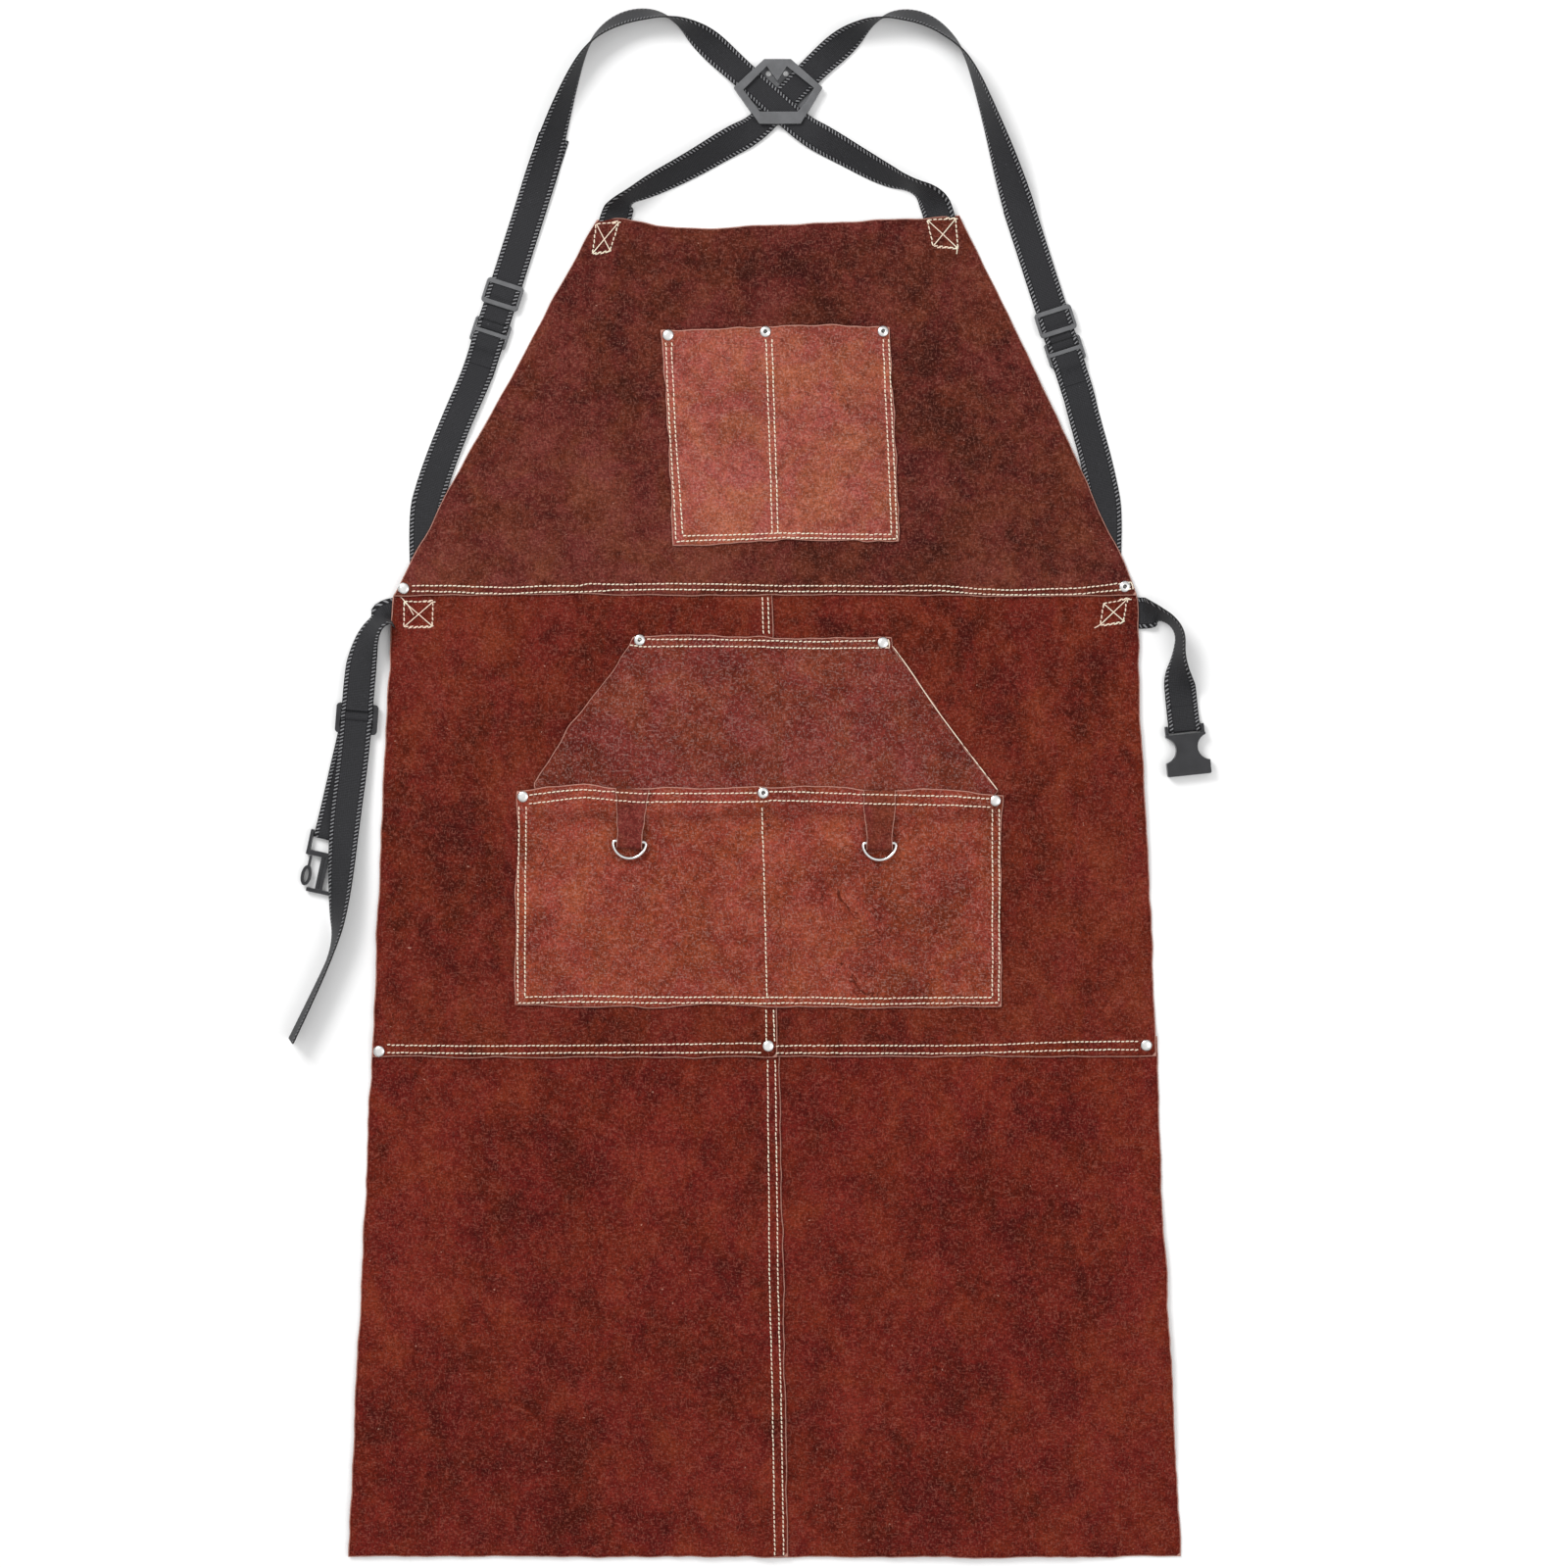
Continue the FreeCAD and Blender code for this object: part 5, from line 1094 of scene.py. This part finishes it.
def tack(a, b, c, d):
    """A dashed box, sewn twice along its top and bottom, run on at two corners; its cross comes from cross().
    """
    shift = np.array([0.0004, 0.0008])
    return [beyond(a, b, 0.0022), [b, c], beyond(d, c, 0.0014), [d, a],
            [tuple(np.array(a) * 0.4 + np.array(b) * 0.6 + shift), tuple(np.array(b) + shift)],
            [tuple(np.array(d) * 0.85 + np.array(c) * 0.15 - shift), tuple(np.array(c) - shift)]]


def cross(a, b, c, d):
    return [(beyond(a, c, 0.0), 0.0005), (beyond(b, d, 0.0), 0.0007)]


TACKS = [((-0.1347, 0.2962), (-0.1168, 0.2975), (-0.1238, 0.2750), (-0.1380, 0.2727)),
         ((0.1293, 0.2995), (0.1518, 0.3005), (0.1534, 0.2772), (0.1340, 0.2788)),
         ((-0.2882, -0.0050), (-0.2648, -0.0050), (-0.2655, -0.0245), (-0.2882, -0.0252)),
         ((0.2695, -0.0063), (0.2890, -0.0026), (0.2860, -0.0205), (0.2670, -0.0236))]
stitches("strap_tack_stitches", sum((tack(*corners) for corners in TACKS), []), ["strap_tack_stitching"], 251,
         0.0003, loose=sum((cross(*corners) for corners in TACKS), []) + [
             ([(0.1534, 0.2790), (0.1530, 0.2750), (0.1527, 0.2725)], 0.0004),
             ([(-0.2905, -0.0016), (-0.2860, -0.0060), (-0.2830, -0.0110), (-0.2804, -0.0157)], 0.0008),
             ([(0.2675, -0.0230), (0.2650, -0.0250), (0.2625, -0.0259)], 0.0004),
             ([(0.2885, -0.0030), (0.2900, -0.0034), (0.2922, -0.0031)], 0.0004)])

# ------------------------------------------------------------------ rivets
RIVETS = {"chest_pocket": [(-0.0776, 0.2076), (0.0000, 0.2107), (0.0940, 0.2110)],
          "waist": [(-0.2883, 0.0055), (0.2866, 0.0070)],
          "pocket_yoke": [(-0.1003, -0.0355), (0.0940, -0.0375)],
          "tool_pocket": [(-0.1935, -0.1606), (-0.0016, -0.1575), (0.1833, -0.1637)],
          "lower_seam": [(-0.3080, -0.3636), (0.0024, -0.3590), (0.3040, -0.3590)]}
DIMPLED = {(0.0000, 0.2107), (0.0940, 0.2110), (-0.1003, -0.0355), (-0.0016, -0.1575), (0.2866, 0.0070)}
CAP_SIDES = 28
# the dark rings of a dimpled cap are painted shade inside its hole
SHADED_HOLE_RINGS = 3                          # this many rings of a dimpled cap are its dark hole
CAP = [(0.0, 1.62), (0.20, 1.61), (0.42, 1.54), (0.64, 1.36), (0.82, 1.05), (0.93, 0.72), (1.0, 0.42),
       (1.02, 0.18), (0.97, 0.0), (0.80, -0.10)]
HOLED = [(0.0, 0.50), (0.24, 0.52), (0.30, 0.80), (0.34, 1.32), (0.39, 1.50), (0.48, 1.52), (0.66, 1.36),
         (0.82, 1.06), (0.93, 0.72), (1.0, 0.42), (1.02, 0.18), (0.97, 0.0), (0.80, -0.10)]
BACK = [(0.0, 0.0), (0.70, 0.0), (0.76, 0.08), (0.78, 0.25), (0.74, 0.42), (0.60, 0.50)]


def turned(profile, x, y, z, tilt, way, start):
    """A turned shape: profile is (share of the radius, height in mm) from the middle outwards."""
    sides, verts = CAP_SIDES, []
    for share, height in profile:
        for step in range(sides):
            turn = 2 * math.pi * step / sides
            px, py = share * RIVET_R * math.cos(turn), share * RIVET_R * math.sin(turn)
            lean = (px * math.cos(way) + py * math.sin(way)) * tilt
            verts.append((x + px, y + py, z + height * MM + lean))
    ring = np.arange(sides)
    faces = []
    for level in range(len(profile) - 1):
        inner = ring + start + level * sides
        faces += ring_faces(inner, inner + sides)[:, ::-1].tolist()
    return verts, faces


random = np.random.default_rng(301)
for group, spots in RIVETS.items():
    verts, faces, dark = [], [], []
    for x, y in spots:
        around_x, around_y = x + np.array([-0.003, 0, 0.003, 0]), y + np.array([0, 0.003, 0, -0.003])
        ground = float(np.mean(sample_high(top, around_x, around_y)))
        profile = HOLED if (x, y) in DIMPLED else CAP
        tilt, way = random.uniform(0.0, 0.10), random.uniform(0, 6.28)
        made, quads = turned(profile, x, y, ground, tilt, way, len(verts))
        verts += made
        faces += quads
        holes = SHADED_HOLE_RINGS * CAP_SIDES if profile is HOLED else 0
        dark += [1] * holes + [0] * (len(quads) - holes)
        low = float(sample(lift, x, y))
        made, quads = turned(BACK, x, y, low, 0.0, 0.0, len(verts))
        verts += made
        faces += [quad[::-1] for quad in quads]
        dark += [0] * len(quads)
    piece = new_object(f"{group}_rivets", verts, faces, [RIVET, HOLE_SHADE], dark)
    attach(piece, "apron")
    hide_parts(f"{group}_rivet_caps", f"{group}_rivet_posts")

# ------------------------------------------------------------------ plastic and rings carried over
def coat(name, material):
    """A CAD node's own mesh with a material on it."""
    nodes[name].data.materials.clear()
    nodes[name].data.materials.append(material)


for name in ("shoulder_slider_left", "shoulder_slider_right", "strap_link_left", "strap_link_right",
             "cross_back_plate"):
    coat(name, GREY_PLASTIC)
for name in ("belt_slider", "buckle_male_body", "buckle_male_prong_left", "buckle_male_prong_right",
             "buckle_female"):
    coat(name, DARK_PLASTIC)
for name in ("d_ring_left", "d_ring_right"):
    coat(name, RING)

# ------------------------------------------------------------------ floor and light
floor_shader = Shader("floor")
speckle = floor_shader.noise(floor_shader.place(), 3.0, 2.0)
floor_colour = floor_shader.mix(speckle, (0.90, 0.90, 0.90), (0.93, 0.93, 0.93))
FLOOR = floor_shader.surface(Base_Color=floor_colour, Roughness=0.9, Specular_IOR_Level=0.1)
floor = new_object("floor", [(-6, -6, -0.0002), (6, -6, -0.0002), (6, 6, -0.0002), (-6, 6, -0.0002)],
                   [(0, 1, 2, 3)], [FLOOR], smooth=False)


def area_light(name, place, size, energy, aim=(0, -0.15, 0)):
    data = bpy.data.lights.new(name, "AREA")
    data.shape = "SQUARE"
    data.size = size
    data.energy = energy
    light = bpy.data.objects.new(name, data)
    light.location = place
    light.rotation_mode = "QUATERNION"
    light.rotation_quaternion = (Vector(aim) - Vector(place)).to_track_quat("-Z", "Y")
    scene.collection.objects.link(light)


area_light("key", (-1.5, 1.7, 2.3), 1.3, 62.0)
area_light("fill", (1.9, -0.6, 2.4), 2.0, 22.0)
world = bpy.data.worlds.new("studio")
world.use_nodes = True
sky = world.node_tree
sky_way = sky.nodes.new("ShaderNodeTexCoord")
sky_split = sky.nodes.new("ShaderNodeSeparateXYZ")
sky_ramp = sky.nodes.new("ShaderNodeMapRange")
sky.links.new(sky_way.outputs["Generated"], sky_split.inputs[0])
sky.links.new(sky_split.outputs["Z"], sky_ramp.inputs["Value"])
for socket, value in (("From Min", 0.05), ("From Max", 0.85), ("To Min", 0.16), ("To Max", 0.92)):
    sky_ramp.inputs[socket].default_value = value
sky.nodes["Background"].inputs["Color"].default_value = (1.0, 1.0, 1.0, 1.0)
sky.links.new(sky_ramp.outputs["Result"], sky.nodes["Background"].inputs["Strength"])
scene.world = world
scene.view_settings.view_transform = "Standard"
